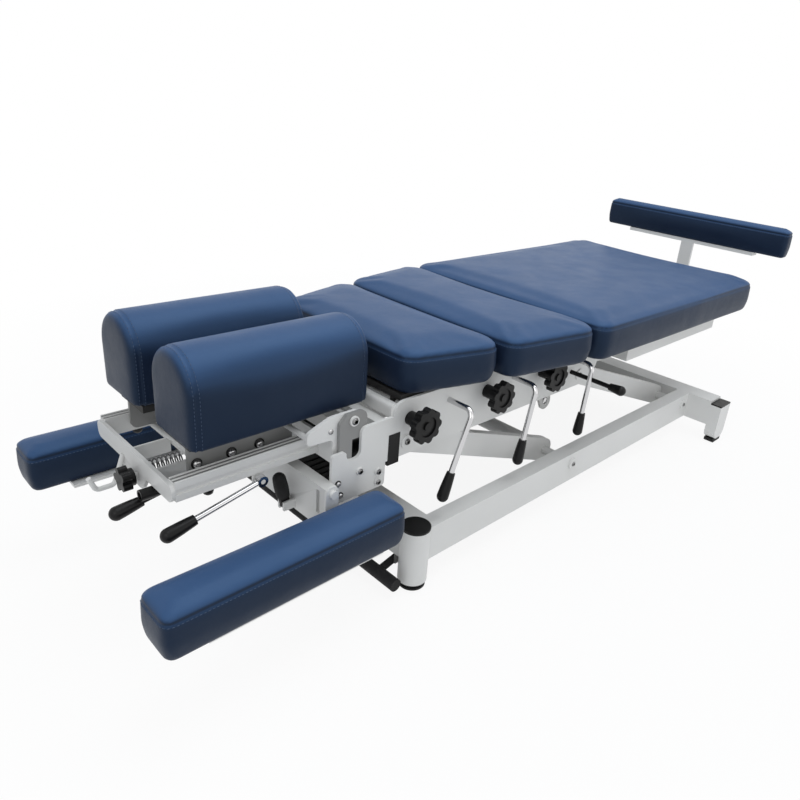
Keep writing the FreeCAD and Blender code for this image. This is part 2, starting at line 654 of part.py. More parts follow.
# Lifting arms: each pair turns on a base axle and carries the frame at its upper pivots.
arm_rise = size.arm_length * sine(size.lift_rest_angle)
arm_run = size.arm_length * cosine(size.lift_rest_angle)
front_top_x = size.front_axle_x - arm_run
rear_top_x = size.rear_axle_x - arm_run
top_height = size.axle_height + arm_rise
arm_middle_y = size.arm_outer_y - size.arm_thickness / 2
arm_inner_y = size.arm_outer_y - size.arm_thickness
HALF_TURN = Size(180, "180")
QUARTER_TURN = Size(90, "90")
arm_turn = size.lift_rest_angle + HALF_TURN


def lift_arm(side, word, axle_x, top_x, top_gap):
    arm = link("%s_arm_plate_%s" % word, size.arm_length, size.arm_foot_radius,
               size.arm_tip_radius, size.arm_thickness)
    swing(arm, axle_x, side * arm_middle_y, size.axle_height, arm_turn)
    y_from, y_to = span(side, arm_inner_y, size.arm_outer_y)
    return cut("%s_lift_arm_%s" % word, arm, [
        cross_rod("%s_arm_foot_bore_%s" % word, axle_x, size.axle_height, y_from, y_to, axle_bore),
        cross_rod("%s_arm_top_bore_%s" % word, top_x, top_height, y_from, y_to,
                  size.axle_radius + top_gap)])


nodes["front_lift_arms"] = group("front_lift_arms", sides(
    lambda side, word: lift_arm(side, ("front", word), size.front_axle_x, front_top_x,
                                size.running_gap)))
nodes["front_torque_tube"] = cut(
    "front_torque_tube",
    cross_rod("torque_tube_outside", size.front_axle_x, size.axle_height, -arm_inner_y,
              arm_inner_y, size.torque_tube_radius),
    [cross_rod("torque_tube_bore", size.front_axle_x, size.axle_height, -arm_inner_y, arm_inner_y,
               axle_bore)])
nodes["rear_lift_arms"] = group("rear_lift_arms", sides(
    lambda side, word: lift_arm(side, ("rear", word), size.rear_axle_x, rear_top_x,
                                size.open_pivot_gap)))
shaft_bore = size.axle_radius + size.open_pivot_gap
nodes["rear_top_shaft"] = cut(
    "rear_top_shaft",
    cross_rod("top_shaft_outside", rear_top_x, top_height, -arm_inner_y, arm_inner_y,
              size.shaft_tube_radius),
    [cross_rod("top_shaft_bore", rear_top_x, top_height, -arm_inner_y, arm_inner_y, shaft_bore)])


# Lift lever: two webbed plates hang from the rear top shaft, and the actuator's pin works in
# their radial slots.
def lever_plate(side, word):
    middle = side * (size.lever_plate_y - size.lever_plate_thickness / 2)
    y_from, y_to = span(side, size.lever_plate_y - size.lever_plate_thickness, size.lever_plate_y)
    down = QUARTER_TURN - size.lever_rest_lean
    hang = link("lever_hang_" + word, size.lever_depth + size.lever_slot_below,
                size.lever_hub_radius, size.lever_tip_radius, size.lever_plate_thickness)
    swing(hang, rear_top_x, middle, top_height, down)
    web = link("lever_web_" + word, size.lever_web_length, size.lever_hub_radius,
               size.lever_web_radius, size.lever_plate_thickness)
    swing(web, rear_top_x, middle, top_height, down - size.lever_web_angle)
    slot = link("lever_slot_" + word, size.lever_slot_above + size.lever_slot_below,
                size.lever_slot_half_width, size.lever_slot_half_width,
                size.lever_plate_thickness)
    start = size.lever_depth - size.lever_slot_above
    swing(slot, rear_top_x + start * sine(size.lever_rest_lean), middle,
          top_height - start * cosine(size.lever_rest_lean), down)
    hub = cross_rod("lever_hub_bore_" + word, rear_top_x, top_height, y_from, y_to,
                    size.shaft_tube_radius)
    return cut("lever_plate_" + word, fuse("lever_body_" + word, [hang, web]), [slot, hub])


nodes["lift_lever_plates"] = group("lift_lever_plates", sides(lever_plate))

# Actuator: ribbed motor housing, outer tube with a blind bore, and the rod with its cross pin.
actuator_height = top_height - size.lever_depth
pin_x = rear_top_x + size.lever_depth * sine(size.lever_rest_lean) / cosine(size.lever_rest_lean)
motor_rear_x = size.actuator_tube_front_x
motor_body = profile("motor_body", "YZ_Plane", [
    (-size.motor_half_width, size.motor_underside), (size.motor_half_width, size.motor_underside),
    (size.motor_half_width, size.motor_top), (-size.motor_half_width, size.motor_top)],
    motor_rear_x - size.motor_front_x, (motor_rear_x + size.motor_front_x) / 2,
    [(size.motor_round, (0, 1, 2, 3))])
motor_grooves = []
rib_pitch = size.motor_rib_width * 2
rib_count = int((size.motor_top.number - size.motor_underside.number)
                / rib_pitch.number) - 2
for rib in range(rib_count):
    bottom = size.motor_underside + size.motor_round + rib_pitch * rib
    for side, word in ((-1, "near"), (1, "far")):
        y_from, y_to = span(side, size.motor_half_width - size.motor_rib_depth,
                            size.motor_half_width + size.motor_rib_depth)
        motor_grooves.append(block(
            "motor_groove_%s_%d" % (word, rib),
            (size.motor_front_x - size.motor_rib_depth, y_from, bottom),
            (motor_rear_x - size.motor_rib_width, y_to, bottom + size.motor_rib_width)))
nodes["actuator_motor"] = cut("actuator_motor", motor_body, motor_grooves)
nodes["actuator_tube"] = cut(
    "actuator_tube",
    rod("actuator_tube_outside", "X", (size.actuator_tube_front_x, 0, actuator_height),
        size.actuator_tube_rear_x - size.actuator_tube_front_x, size.actuator_tube_radius),
    [rod("actuator_tube_bore", "X",
         (size.actuator_tube_rear_x - size.actuator_bore_depth, 0, actuator_height),
         size.actuator_bore_depth, size.actuator_rod_radius + size.running_gap)])
rod_bar = rod("actuator_rod_bar", "X", (size.actuator_rod_front_x, 0, actuator_height),
              pin_x - size.actuator_rod_front_x, size.actuator_rod_radius)
rod_eye = block("actuator_rod_eye",
                (pin_x - size.clevis_length / 2, -size.clevis_half, actuator_height - size.clevis_half),
                (pin_x + size.clevis_length / 2, size.clevis_half, actuator_height + size.clevis_half))
rod_pin = cross_rod("actuator_rod_pin", pin_x, actuator_height, -size.lever_plate_y,
                    size.lever_plate_y, size.actuator_pin_radius)
nodes["actuator_rod"] = fuse("actuator_rod", [rod_bar, rod_eye, rod_pin])


# Side plates: a notched front lug for the head section, and a long tongue below the pelvic pad.
levers = (("thoracic", size.thoracic_lever_x), ("lumbar", size.lumbar_lever_x),
          ("pelvic", size.pelvic_lever_x))
knobs = (("thoracic", size.thoracic_knob_x), ("lumbar", size.lumbar_knob_x),
         ("pelvic", size.pelvic_knob_x))
hinges = (("thoracic", size.thoracic_hinge_x), ("lumbar", size.lumbar_hinge_x),
          ("pelvic", size.pelvic_hinge_x))
board_bottoms = {"thoracic": size.pad_underside - size.board_thickness,
                 "lumbar": size.pad_underside - size.board_thickness,
                 "pelvic": size.pelvic_pad_underside - size.board_thickness}
rear_lever_height = board_bottoms["pelvic"] - size.rear_lever_drop
plate_inner_y = size.plate_outer_y - size.plate_thickness
lever_bore = size.lever_shaft_radius + size.running_gap


def side_plate(side, word):
    outline = [
        (size.plate_step_x, size.plate_top), (size.plate_step_x, size.tongue_top),
        (size.tongue_rear_x, size.tongue_top), (size.tongue_rear_x, size.tongue_underside),
        (size.tongue_start_x, size.tongue_underside), (size.plate_rear_x, size.plate_underside),
        (size.lug_rear_x, size.plate_underside), (size.lug_rear_x, size.lug_underside),
        (size.lug_front_x, size.lug_underside), (size.lug_front_x, size.horn_top),
        (size.horn_rear_x, size.horn_top), (size.notch_front_x, size.notch_floor),
        (size.notch_rear_x, size.notch_floor), (size.notch_rear_x, size.shoulder_top),
        (size.plate_front_x, size.shoulder_top), (size.plate_front_x, size.plate_top)]
    middle = side * (size.plate_outer_y - size.plate_thickness / 2)
    plate = profile("side_plate_blank_" + word, "XZ_Plane", outline, size.plate_thickness, middle,
                    [(size.plate_round, (15,)), (size.lug_round, (8, 11, 12, 13)),
                     (size.lug_round / 2, (7, 9, 10))])
    y_from, y_to = span(side, plate_inner_y, size.plate_outer_y)
    cutters = [block("plate_slot_" + word, (size.slot_front_x, y_from, size.slot_underside),
                     (size.slot_rear_x, y_to, size.slot_top)),
               cross_rod("plate_front_bore_" + word, front_top_x, top_height, y_from, y_to,
                         size.axle_radius),
               cross_rod("plate_rear_bore_" + word, rear_top_x, top_height, y_from, y_to,
                         size.axle_radius)]
    for section, x in levers:
        cutters.append(cross_rod("plate_lever_bore_%s_%s" % (section, word), x,
                                 size.lever_shaft_height, y_from, y_to, lever_bore))
    for section, x in knobs:
        cutters.append(cross_rod("plate_knob_bore_%s_%s" % (section, word), x, size.knob_height,
                                 y_from, y_to, size.knob_stud_radius + size.running_gap))
    cutters.append(cross_rod("plate_rear_lever_bore_" + word, size.rear_lever_x,
                             rear_lever_height, y_from, y_to,
                             size.rear_lever_radius + size.running_gap))
    return cut("side_plate_" + word, plate, cutters)


nodes["side_plate_near"] = side_plate(-1, "near")
nodes["side_plate_far"] = side_plate(1, "far")


def slot_insert(side, word):
    y_from, y_to = span(side, plate_inner_y, size.plate_outer_y + size.slot_insert_proud)
    return block("plate_insert_" + word, (size.slot_front_x, y_from, size.slot_underside),
                 (size.slot_rear_x, y_to, size.slot_top))


nodes["plate_inserts"] = group("plate_inserts", sides(slot_insert))

# Cross members between the plates, with the rods on which the drop boards hinge.
front_channel_rear_x = size.front_channel_x + size.front_channel_length
front_channel = fuse("front_channel", [
    block("front_channel_web", (size.front_channel_x, -plate_inner_y, size.front_channel_underside),
          (front_channel_rear_x, plate_inner_y, size.front_channel_top - size.channel_step)),
    block("front_channel_step",
          (size.front_channel_x + size.channel_step, -plate_inner_y,
           size.front_channel_top - size.channel_step),
          (front_channel_rear_x, plate_inner_y, size.front_channel_top))])
mid_channel = block("mid_channel", (size.mid_channel_x, -plate_inner_y, size.front_channel_underside),
                    (size.mid_channel_x + size.mid_channel_length, plate_inner_y,
                     size.front_channel_top))
ankle_bar_top = size.ankle_bar_underside + size.ankle_bar_height
rear_channel = cut(
    "rear_channel",
    block("rear_channel_block", (size.rear_channel_x, -plate_inner_y, size.tongue_underside),
          (size.rear_channel_x + size.rear_channel_length, plate_inner_y,
           ankle_bar_top + size.ankle_bar_height)),
    [block("ankle_bar_way", (size.rear_channel_x, -size.ankle_post_half - size.ankle_slide_gap,
                             size.ankle_bar_underside - size.ankle_slide_gap),
           (size.rear_channel_x + size.rear_channel_length,
            size.ankle_post_half + size.ankle_slide_gap, ankle_bar_top + size.ankle_slide_gap))])
hinge_rods = [cross_rod(section + "_hinge_rod", x, size.hinge_height, -plate_inner_y, plate_inner_y,
                        size.hinge_rod_radius) for section, x in hinges]


def tilt_bracket(side, word):
    """Round-headed bracket inside the side plate: it carries the head section's pivot bolt."""
    x, z, reach = size.head_pivot_x, size.head_pivot_height, size.bracket_reach
    middle = side * (plate_inner_y - size.bracket_thickness / 2)
    outline = [(x - reach, size.bracket_foot), (size.bracket_stem_rear_x, size.bracket_foot),
               (size.bracket_stem_rear_x, size.bracket_chin), (x + reach, size.bracket_chin),
               (x + reach, z + reach / 2), (x - reach / 2, z + reach / 2), (x - reach, z)]
    plate = profile("tilt_bracket_blank_" + word, "XZ_Plane", outline, size.bracket_thickness,
                    middle, [(size.bracket_round, (3, 4)), (size.bracket_round / 2, (0, 1, 5, 6))])
    y_from, y_to = span(side, plate_inner_y - size.bracket_thickness, plate_inner_y)
    return cut("tilt_bracket_" + word, plate, [
        cross_rod("tilt_bracket_bore_" + word, x, z, y_from, y_to, size.head_pivot_radius)])


nodes["frame_cross_members"] = group("frame_cross_members", [
    front_channel, mid_channel, rear_channel] + hinge_rods + sides(tilt_bracket))


# Front crossbar: carries the armrest pivots at its ends, the motor lug and the tilt lever's lugs.
def armrest_pin(side, word):
    y_from, y_to = span(side, size.crossbar_half, size.crossbar_half + size.armrest_pin_reach)
    return cross_rod("armrest_pin_" + word, size.armrest_pivot_x, size.armrest_pivot_height,
                     y_from, y_to, size.armrest_pin_radius)


crossbar_rear_x = size.lug_front_x
crossbar_x = crossbar_rear_x - size.crossbar_thickness
crossbar_block = block("crossbar_block",
                       (crossbar_x, -size.crossbar_half, size.crossbar_underside),
                       (crossbar_rear_x, size.crossbar_half, size.crossbar_top))
motor_lug = block("motor_lug", (crossbar_rear_x, -size.motor_lug_half, actuator_height),
                  (size.motor_front_x, size.motor_lug_half, actuator_height + size.motor_lug_height))
tilt_eye_y = size.tilt_lever_y
tilt_lug_inner = size.tilt_eye_radius / 2 + size.side_gap
tilt_lugs = []
for side, word in ((-1, "near"), (1, "far")):
    y_from, y_to = span(side, tilt_lug_inner, tilt_lug_inner + size.tilt_lug_width)
    tilt_lugs.append(block("tilt_lug_" + word,
                           (size.tilt_lever_x - size.tilt_eye_radius, y_from - tilt_eye_y,
                            size.tilt_lever_height - size.tilt_eye_radius),
                           (crossbar_x, y_to - tilt_eye_y,
                            size.tilt_lever_height + size.tilt_eye_radius)))
tilt_lugs.append(cross_rod("tilt_lug_pin", size.tilt_lever_x, size.tilt_lever_height,
                           -tilt_eye_y - tilt_lug_inner - size.tilt_lug_width,
                           tilt_lug_inner + size.tilt_lug_width - tilt_eye_y,
                           size.small_pin_radius))
crossbar_slots = [block("crossbar_slot_" + word,
                        (crossbar_x, side * size.crossbar_slot_y - size.crossbar_slot_width / 2,
                         size.crossbar_top - size.crossbar_slot_length - size.crossbar_slot_width),
                        (crossbar_x + size.crossbar_slot_depth,
                         side * size.crossbar_slot_y + size.crossbar_slot_width / 2,
                         size.crossbar_top - size.crossbar_slot_width))
                  for side, word in ((-1, "near"), (1, "far"))]
nodes["front_crossbar"] = cut("front_crossbar", fuse(
    "crossbar_body", [crossbar_block, motor_lug] + sides(armrest_pin) + tilt_lugs), crossbar_slots)


def pelvic_rail(side, word):
    y_from, y_to = span(side, size.plate_outer_y, size.pelvic_rail_outer_y)
    return block("pelvic_rail_" + word, (size.pelvic_rail_front_x, y_from, size.pelvic_rail_underside),
                 (size.tongue_rear_x, y_to, size.pelvic_rail_top))


nodes["pelvic_rails"] = group("pelvic_rails", sides(pelvic_rail))


# Domed bolts: the four upper arm pivots, and the bolts of the front lugs.
def frame_bolt(name, side, x, z, inner, radius):
    y_from, y_to = span(side, inner, size.plate_outer_y)
    head_from, head_to = span(side, size.plate_outer_y, size.plate_outer_y + size.bolt_head_height)
    parts = [cross_rod(name + "_head", x, z, head_from, head_to, radius + size.bolt_head_height)]
    if float(inner) < float(size.plate_outer_y):
        parts.append(cross_rod(name + "_shank", x, z, y_from, y_to, radius))
        return fuse(name, parts)
    return parts[0]


pivot_bolts = []
for side, word in ((-1, "near"), (1, "far")):
    for spot, x in (("front", front_top_x), ("rear", rear_top_x)):
        pivot_bolts.append(frame_bolt("pivot_bolt_%s_%s" % (spot, word), side, x, top_height,
                                      arm_inner_y, size.axle_radius))
    lug_middle_x = (size.lug_front_x + size.lug_rear_x) / 2
    for number, (x, z) in enumerate((
            (lug_middle_x, size.lug_underside + size.lug_round * 4),
            (size.lug_rear_x - size.lug_round * 1.4, size.lug_underside + size.lug_round * 2.7),
            (size.lug_rear_x - size.lug_round * 1.4, size.lug_underside + size.lug_round))):
        pivot_bolts.append(frame_bolt("lug_bolt_%d_%s" % (number, word), side, x, z,
                                      size.plate_outer_y, size.bolt_radius / 2))


bracket_inner_y = plate_inner_y - size.bracket_thickness
head_arm_y = bracket_inner_y - size.side_gap
arm_inner_face = head_arm_y - size.head_arm_thickness


def tilt_bolt(side, word):
    """Pivot bolt through the grey bracket into the head arm inside it."""
    y_from, y_to = span(side, arm_inner_face, plate_inner_y)
    head_from, head_to = span(side, plate_inner_y, plate_inner_y + size.bolt_head_height)
    return fuse("tilt_bolt_" + word, [
        cross_rod("tilt_bolt_shank_" + word, size.head_pivot_x, size.head_pivot_height, y_from,
                  y_to, size.head_pivot_radius),
        cross_rod("tilt_bolt_head_" + word, size.head_pivot_x, size.head_pivot_height, head_from,
                  head_to, size.head_pivot_radius + size.bolt_head_height)])


nodes["frame_bolts"] = group("frame_bolts", pivot_bolts + sides(tilt_bolt))

# Drop sections: each cushion is screwed to a board with two hinge ears on its underside.
ear_reach = size.hinge_ear_radius
hinge_bore = size.hinge_rod_radius + size.running_gap


def drop_board(section, hinge_x, front_x, rear_x, half, pad_bottom):
    bottom = pad_bottom - size.board_thickness
    parts = [block(section + "_board_sheet", (front_x, -half, bottom), (rear_x, half, pad_bottom))]
    bores = []
    for side, word in ((-1, "near"), (1, "far")):
        y_from, y_to = span(side, size.hinge_ear_y - size.hinge_ear_width, size.hinge_ear_y)
        name = "%s_ear_%s" % (section, word)
        parts.append(cross_rod(name + "_eye", hinge_x, size.hinge_height, y_from, y_to, ear_reach))
        parts.append(block(name + "_web", (hinge_x - ear_reach, y_from, size.hinge_height),
                           (hinge_x + ear_reach, y_to, bottom)))
        bores.append(cross_rod(name + "_bore", hinge_x, size.hinge_height, y_from, y_to, hinge_bore))
    return cut(section + "_board", fuse(section + "_board_body", parts), bores)


nodes["thoracic_board"] = drop_board(
    "thoracic", size.thoracic_hinge_x, size.thoracic_front_x + size.board_margin,
    size.thoracic_rear_x - size.board_margin, size.board_half, size.pad_underside)
nodes["lumbar_board"] = drop_board(
    "lumbar", size.lumbar_hinge_x, size.lumbar_front_x + size.board_margin,
    size.lumbar_rear_x - size.board_margin, size.board_half, size.pad_underside)
nodes["pelvic_board"] = drop_board(
    "pelvic", size.pelvic_hinge_x, size.pelvic_front_x + size.board_margin,
    size.pelvic_hinge_x + ear_reach, size.pelvic_board_half, size.pelvic_pad_underside)


def section_pad(section, front_x, rear_x, front_half, rear_half, bottom):
    corners = [(front_x, -front_half), (rear_x, -rear_half), (rear_x, rear_half),
               (front_x, front_half)]
    return cushion(section + "_cushion", corners, bottom, size.pad_top, size.pad_corner,
                   size.pad_edge, size.pad_crown)


nodes["thoracic_cushion"] = section_pad(
    "thoracic", size.thoracic_front_x, size.thoracic_rear_x, size.thoracic_front_half,
    size.thoracic_rear_half, size.pad_underside)
nodes["lumbar_cushion"] = section_pad(
    "lumbar", size.lumbar_front_x, size.lumbar_rear_x, size.lumbar_front_half,
    size.lumbar_rear_half, size.pad_underside)
nodes["pelvic_cushion"] = section_pad(
    "pelvic", size.pelvic_front_x, size.pelvic_rear_x, size.pelvic_front_half,
    size.pelvic_rear_half, size.pelvic_pad_underside)

# Cocking levers: a bent rod with an eccentric cam below its board, and a moulded grip.
LEVER_LEAN_SHARES = {"thoracic": 0.38, "lumbar": 0.19, "pelvic": 0.1}
for section, x in levers:
    lean = LEVER_LEAN_SHARES[section]
    bend_spot = (x, -size.lever_reach_y, size.lever_shaft_height)
    down = (x - size.lever_drop * lean, -size.lever_reach_y,
            size.lever_shaft_height - size.lever_drop)
    low = (x - (size.lever_drop + size.grip_length) * lean, -size.lever_reach_y,
           size.lever_shaft_height - size.lever_drop - size.grip_length)
    bar = bent_rod(section + "_lever_bar",
                   [(x, -size.lever_inner_y, size.lever_shaft_height), bend_spot, down],
                   size.lever_shaft_radius, size.lever_bend)
    cam = cross_rod(section + "_cam", x - size.cam_offset, size.lever_shaft_height,
                    -size.cam_y, -size.cam_y + size.cam_width,
                    board_bottoms[section] - size.lever_shaft_height - size.cam_gap)
    nodes[section + "_lever"] = fuse(section + "_lever", [bar, cam])
    nodes[section + "_lever_grip"] = hand_grip(section + "_lever_grip", down, low,
                                               size.grip_neck_radius, size.grip_end_radius)


def rosette(section, x):
    """Lobed tension knob on its threaded stud, turned about a cross axis."""
    face_y = -size.plate_outer_y - size.side_gap - size.knob_hub_length
    outer_y = face_y - size.knob_disc_thickness
    z = size.knob_height
    parts = [cross_rod(section + "_knob_hub", x, z, face_y, -size.plate_outer_y - size.side_gap,
                       size.knob_hub_radius),
             cross_rod(section + "_knob_disc", x, z, outer_y, face_y, size.knob_disc_radius),
             cross_rod(section + "_knob_stud", x, z, -size.plate_outer_y - size.side_gap,
                       size.knob_stud_length - size.plate_outer_y, size.knob_stud_radius)]
    lobes = 9
    for lobe in range(lobes):
        turn = 2 * math.pi * lobe / lobes
        parts.append(cross_rod("%s_knob_lobe_%d" % (section, lobe),
                               x + size.knob_lobe_ring * math.cos(turn),
                               z + size.knob_lobe_ring * math.sin(turn), outer_y, face_y,
                               size.knob_lobe_radius))
    dish = cross_rod(section + "_knob_dish", x, z, outer_y, outer_y + size.knob_dish_depth,
                     size.knob_dish_radius)
    cap = cross_rod(section + "_knob_cap", x, z, outer_y, outer_y + size.knob_dish_depth,
                    size.knob_cap_radius)
    ring = cut(section + "_knob_ring", dish, [cap])
    return cut(section + "_tension_knob", fuse(section + "_knob_body", parts), [ring])


for section, x in knobs:
    nodes[section + "_tension_knob"] = rosette(section, x)

# Rear release: a straight pull rod with a moulded grip, just below the pelvic section.
rear_rod = cross_rod("rear_release_rod", size.rear_lever_x, rear_lever_height,
                     -size.rear_lever_grip_y, -plate_inner_y + size.plate_thickness * 3,
                     size.rear_lever_radius)
rear_grip = hand_grip("rear_release_grip",
                      (size.rear_lever_x, -size.rear_lever_grip_y, rear_lever_height),
                      (size.rear_lever_x, -size.rear_lever_end_y, rear_lever_height),
                      size.grip_neck_radius, size.grip_end_radius)
nodes["rear_release_lever"] = fuse("rear_release_lever", [rear_rod, rear_grip])


# Head section: two arm plates swing on the frame's tilt pivots and carry the rails.
def head_arm(side, word):
    middle = side * (head_arm_y - size.head_arm_thickness / 2)
    y_from, y_to = span(side, arm_inner_face, head_arm_y)
    outline = [(size.head_arm_front_x, size.head_arm_brow), (size.head_arm_front_x, size.head_arm_underside),
               (size.head_arm_heel_x, size.head_arm_underside), (size.head_arm_heel_x, size.head_arm_foot),
               (size.head_arm_rear_x, size.head_arm_neck), (size.head_arm_rear_x, size.head_arm_top),
               (size.head_arm_chest_x, size.head_arm_top)]
    plate = profile("head_arm_blank_" + word, "XZ_Plane", outline, size.head_arm_thickness, middle,
                    [(size.head_arm_round, (0, 1, 2, 4, 5, 6))])
    bore = cross_rod("head_arm_bore_" + word, size.head_pivot_x, size.head_pivot_height, y_from,
                     y_to, size.head_pivot_radius + size.running_gap)
    return cut("head_arm_" + word, plate, [bore])


nodes["head_arm_plates"] = group("head_arm_plates", sides(head_arm))


cross_plate_rear_x = size.cross_plate_x + size.cross_plate_thickness
hinge_rod = cross_rod("head_hinge_rod", size.drop_hinge_x, size.drop_hinge_height, -arm_inner_face,
                      arm_inner_face, size.hinge_rod_radius)
cross_sheet = block("head_cross_sheet", (size.cross_plate_x, -arm_inner_face, size.cross_plate_underside),
                    (cross_plate_rear_x, arm_inner_face, size.cross_plate_top))
rail_inner_face = size.head_rail_outer_y - size.head_rail_width
head_lever_height = size.head_rail_underside - size.head_lever_drop
release_eye_half = size.head_lever_eye_width / 2
release_height = size.release_rod_height - size.release_drop
sleeve_height = release_height + size.sleeve_rise
release_lug_low = -size.sleeve_y - size.sleeve_radius
release_lug_high = -release_eye_half - size.side_gap - size.release_y
release_shaft = cross_rod("release_shaft", size.release_x, size.release_rod_height,
                          -rail_inner_face, rail_inner_face, size.hinge_rod_radius)
release_lug = block("release_lug",
                    (size.release_x - size.tilt_eye_radius, release_lug_low,
                     release_height - size.tilt_eye_radius),
                    (size.release_x + size.tilt_eye_radius, release_lug_high,
                     size.release_rod_height))
release_pin = cross_rod("release_pin", size.release_x, release_height,
                        release_lug_high - size.lever_lug_width / 2,
                        release_eye_half - size.release_y, size.small_pin_radius)
sleeve_way = rod("sleeve_way", "X", (size.release_x - size.tilt_eye_radius, -size.sleeve_y, sleeve_height),
                 size.tilt_eye_radius * 2, size.head_lever_rod_radius + size.running_gap)
release_mount = cut("release_mount", fuse("release_mount_body", [
    release_shaft, release_lug, release_pin]), [sleeve_way])
nodes["head_cross_plate"] = group("head_cross_plate", [
    cross_sheet, hinge_rod, release_mount])


def head_rail(side, word):
    y_from, y_to = span(side, size.head_rail_outer_y - size.head_rail_width, size.head_rail_outer_y)
    bar = block("head_rail_bar_" + word,
                (size.head_rail_front_x, y_from, size.head_rail_underside),
                (size.cross_plate_x, y_to, size.head_rail_top))
    groove_from, groove_to = span(side, size.head_rail_outer_y - size.rail_groove_depth,
                                  size.head_rail_outer_y)
    middle = (size.head_rail_underside + size.head_rail_top) / 2
    groove = block("head_rail_groove_" + word,
                   (size.head_rail_front_x, groove_from, middle - size.rail_groove_height / 2),
                   (size.cross_plate_x, groove_to, middle + size.rail_groove_height / 2))
    rail = cut("head_rail_" + word, bar, [groove])
    if side > 0:
        return rail
    face = -size.head_rail_outer_y
    lever_x, lever_z = size.head_lever_x, head_lever_height
    drop_lug = block("drop_lever_lug",
                     (lever_x - size.head_lever_eye, face, lever_z - size.head_lever_eye),
                     (lever_x + size.head_lever_eye, face + size.lever_lug_width,
                      size.head_rail_underside))
    drop_pin = cross_rod("drop_lever_pin", lever_x, lever_z,
                         -size.head_lever_y - size.head_lever_eye_width / 2,
                         face + size.lever_lug_width, size.small_pin_radius)
    return fuse("head_rail_mounts", [rail, drop_lug, drop_pin])


nodes["head_rails"] = group("head_rails", sides(head_rail))

# Front plate of the head section, with the tension stud and the bent hook.
front_plate_x = size.head_rail_front_x - size.front_plate_thickness
lobe_y = size.head_rail_outer_y
dip = size.front_plate_dip_half
front_sheet = profile("head_front_sheet", "YZ_Plane", [
    (-lobe_y, size.front_plate_top), (-lobe_y, size.front_plate_waist),
    (-dip * 1.6, size.front_plate_waist), (-dip, size.front_plate_dip), (dip, size.front_plate_dip),
    (dip * 1.6, size.front_plate_waist), (lobe_y, size.front_plate_waist),
    (lobe_y, size.front_plate_top)], size.front_plate_thickness,
    front_plate_x + size.front_plate_thickness / 2,
    [(size.front_plate_lobe_radius / 1.2, (0, 1, 3, 4, 6, 7))])
stud_x = front_plate_x - size.stud_length
hook = bent_rod("head_hook", [
    (front_plate_x, size.hook_y, size.front_plate_waist + size.hook_radius * 2),
    (front_plate_x - size.hook_bend * 2, size.hook_y, size.hook_height - size.hook_rise),
    (front_plate_x - size.hook_reach, size.hook_y, size.hook_height - size.hook_rise),
    (front_plate_x - size.hook_reach - size.hook_bend, size.hook_y, size.hook_height)],
    size.hook_radius, size.hook_bend)
stud = rod("head_stud", "X", (stud_x, size.stud_y, size.stud_height), size.stud_length,
           size.stud_radius)
nodes["head_front_plate"] = fuse("head_front_plate", [front_sheet, hook, stud])
star_x = stud_x - size.star_thickness
star_parts = [rod("star_core", "X", (star_x, size.stud_y, size.stud_height),
                  size.star_thickness * 2 - size.stud_length / 2, size.star_radius)]
star_lobes = 5
for lobe in range(star_lobes):
    turn = 2 * math.pi * lobe / star_lobes
    star_parts.append(rod("star_lobe_%d" % lobe, "X",
                          (star_x, size.stud_y + size.star_radius * math.cos(turn),
                           size.stud_height + size.star_radius * math.sin(turn)),
                          size.star_thickness, size.star_lobe_radius))
nodes["head_star_knob"] = cut("head_star_knob", fuse("star_body", star_parts), [
    rod("star_bore", "X", (stud_x, size.stud_y, size.stud_height), size.star_thickness,
        size.stud_radius + size.running_gap)])


# Dropping part of the head section: two carriage plates, two boards and two bolsters.
def carriage_plate(side, word):
    y_from, y_to = span(side, size.carriage_outer_y - size.carriage_thickness, size.carriage_outer_y)
    middle = side * (size.carriage_outer_y - size.carriage_thickness / 2)
    board_bottom = size.head_pad_underside - size.head_board_thickness
    plate = profile("carriage_blank_" + word, "XZ_Plane", [
        (size.carriage_front_x, board_bottom), (size.carriage_front_x, size.carriage_underside),
        (size.carriage_rear_x, size.carriage_underside), (size.carriage_rear_x, board_bottom)],
        size.carriage_thickness, middle, [(size.lug_round, (1, 2))])
    bore = cross_rod("carriage_bore_" + word, size.drop_hinge_x, size.drop_hinge_height, y_from,
                     y_to, hinge_bore)
    return cut("carriage_plate_" + word, plate, [bore])


nodes["head_carriage_plates"] = group("head_carriage_plates", sides(carriage_plate))


def head_board(side, word):
    y_from, y_to = span(side, size.head_board_inner_y, size.head_board_outer_y)
    return block("head_board_" + word,
                 (size.head_board_front_x, y_from, size.head_pad_underside - size.head_board_thickness),
                 (size.head_board_rear_x, y_to, size.head_pad_underside))


nodes["head_boards"] = group("head_boards", sides(head_board))
for side, word in ((-1, "near"), (1, "far")):
    y_from, y_to = span(side, size.head_pad_inner_y, size.head_pad_outer_y)
    nodes["head_cushion_" + word] = bolster(
        "head_cushion_" + word, y_from, y_to, size.head_pad_front_x, size.head_pad_rear_x,
        size.head_pad_underside, size.head_pad_top, size.head_pad_end_round)


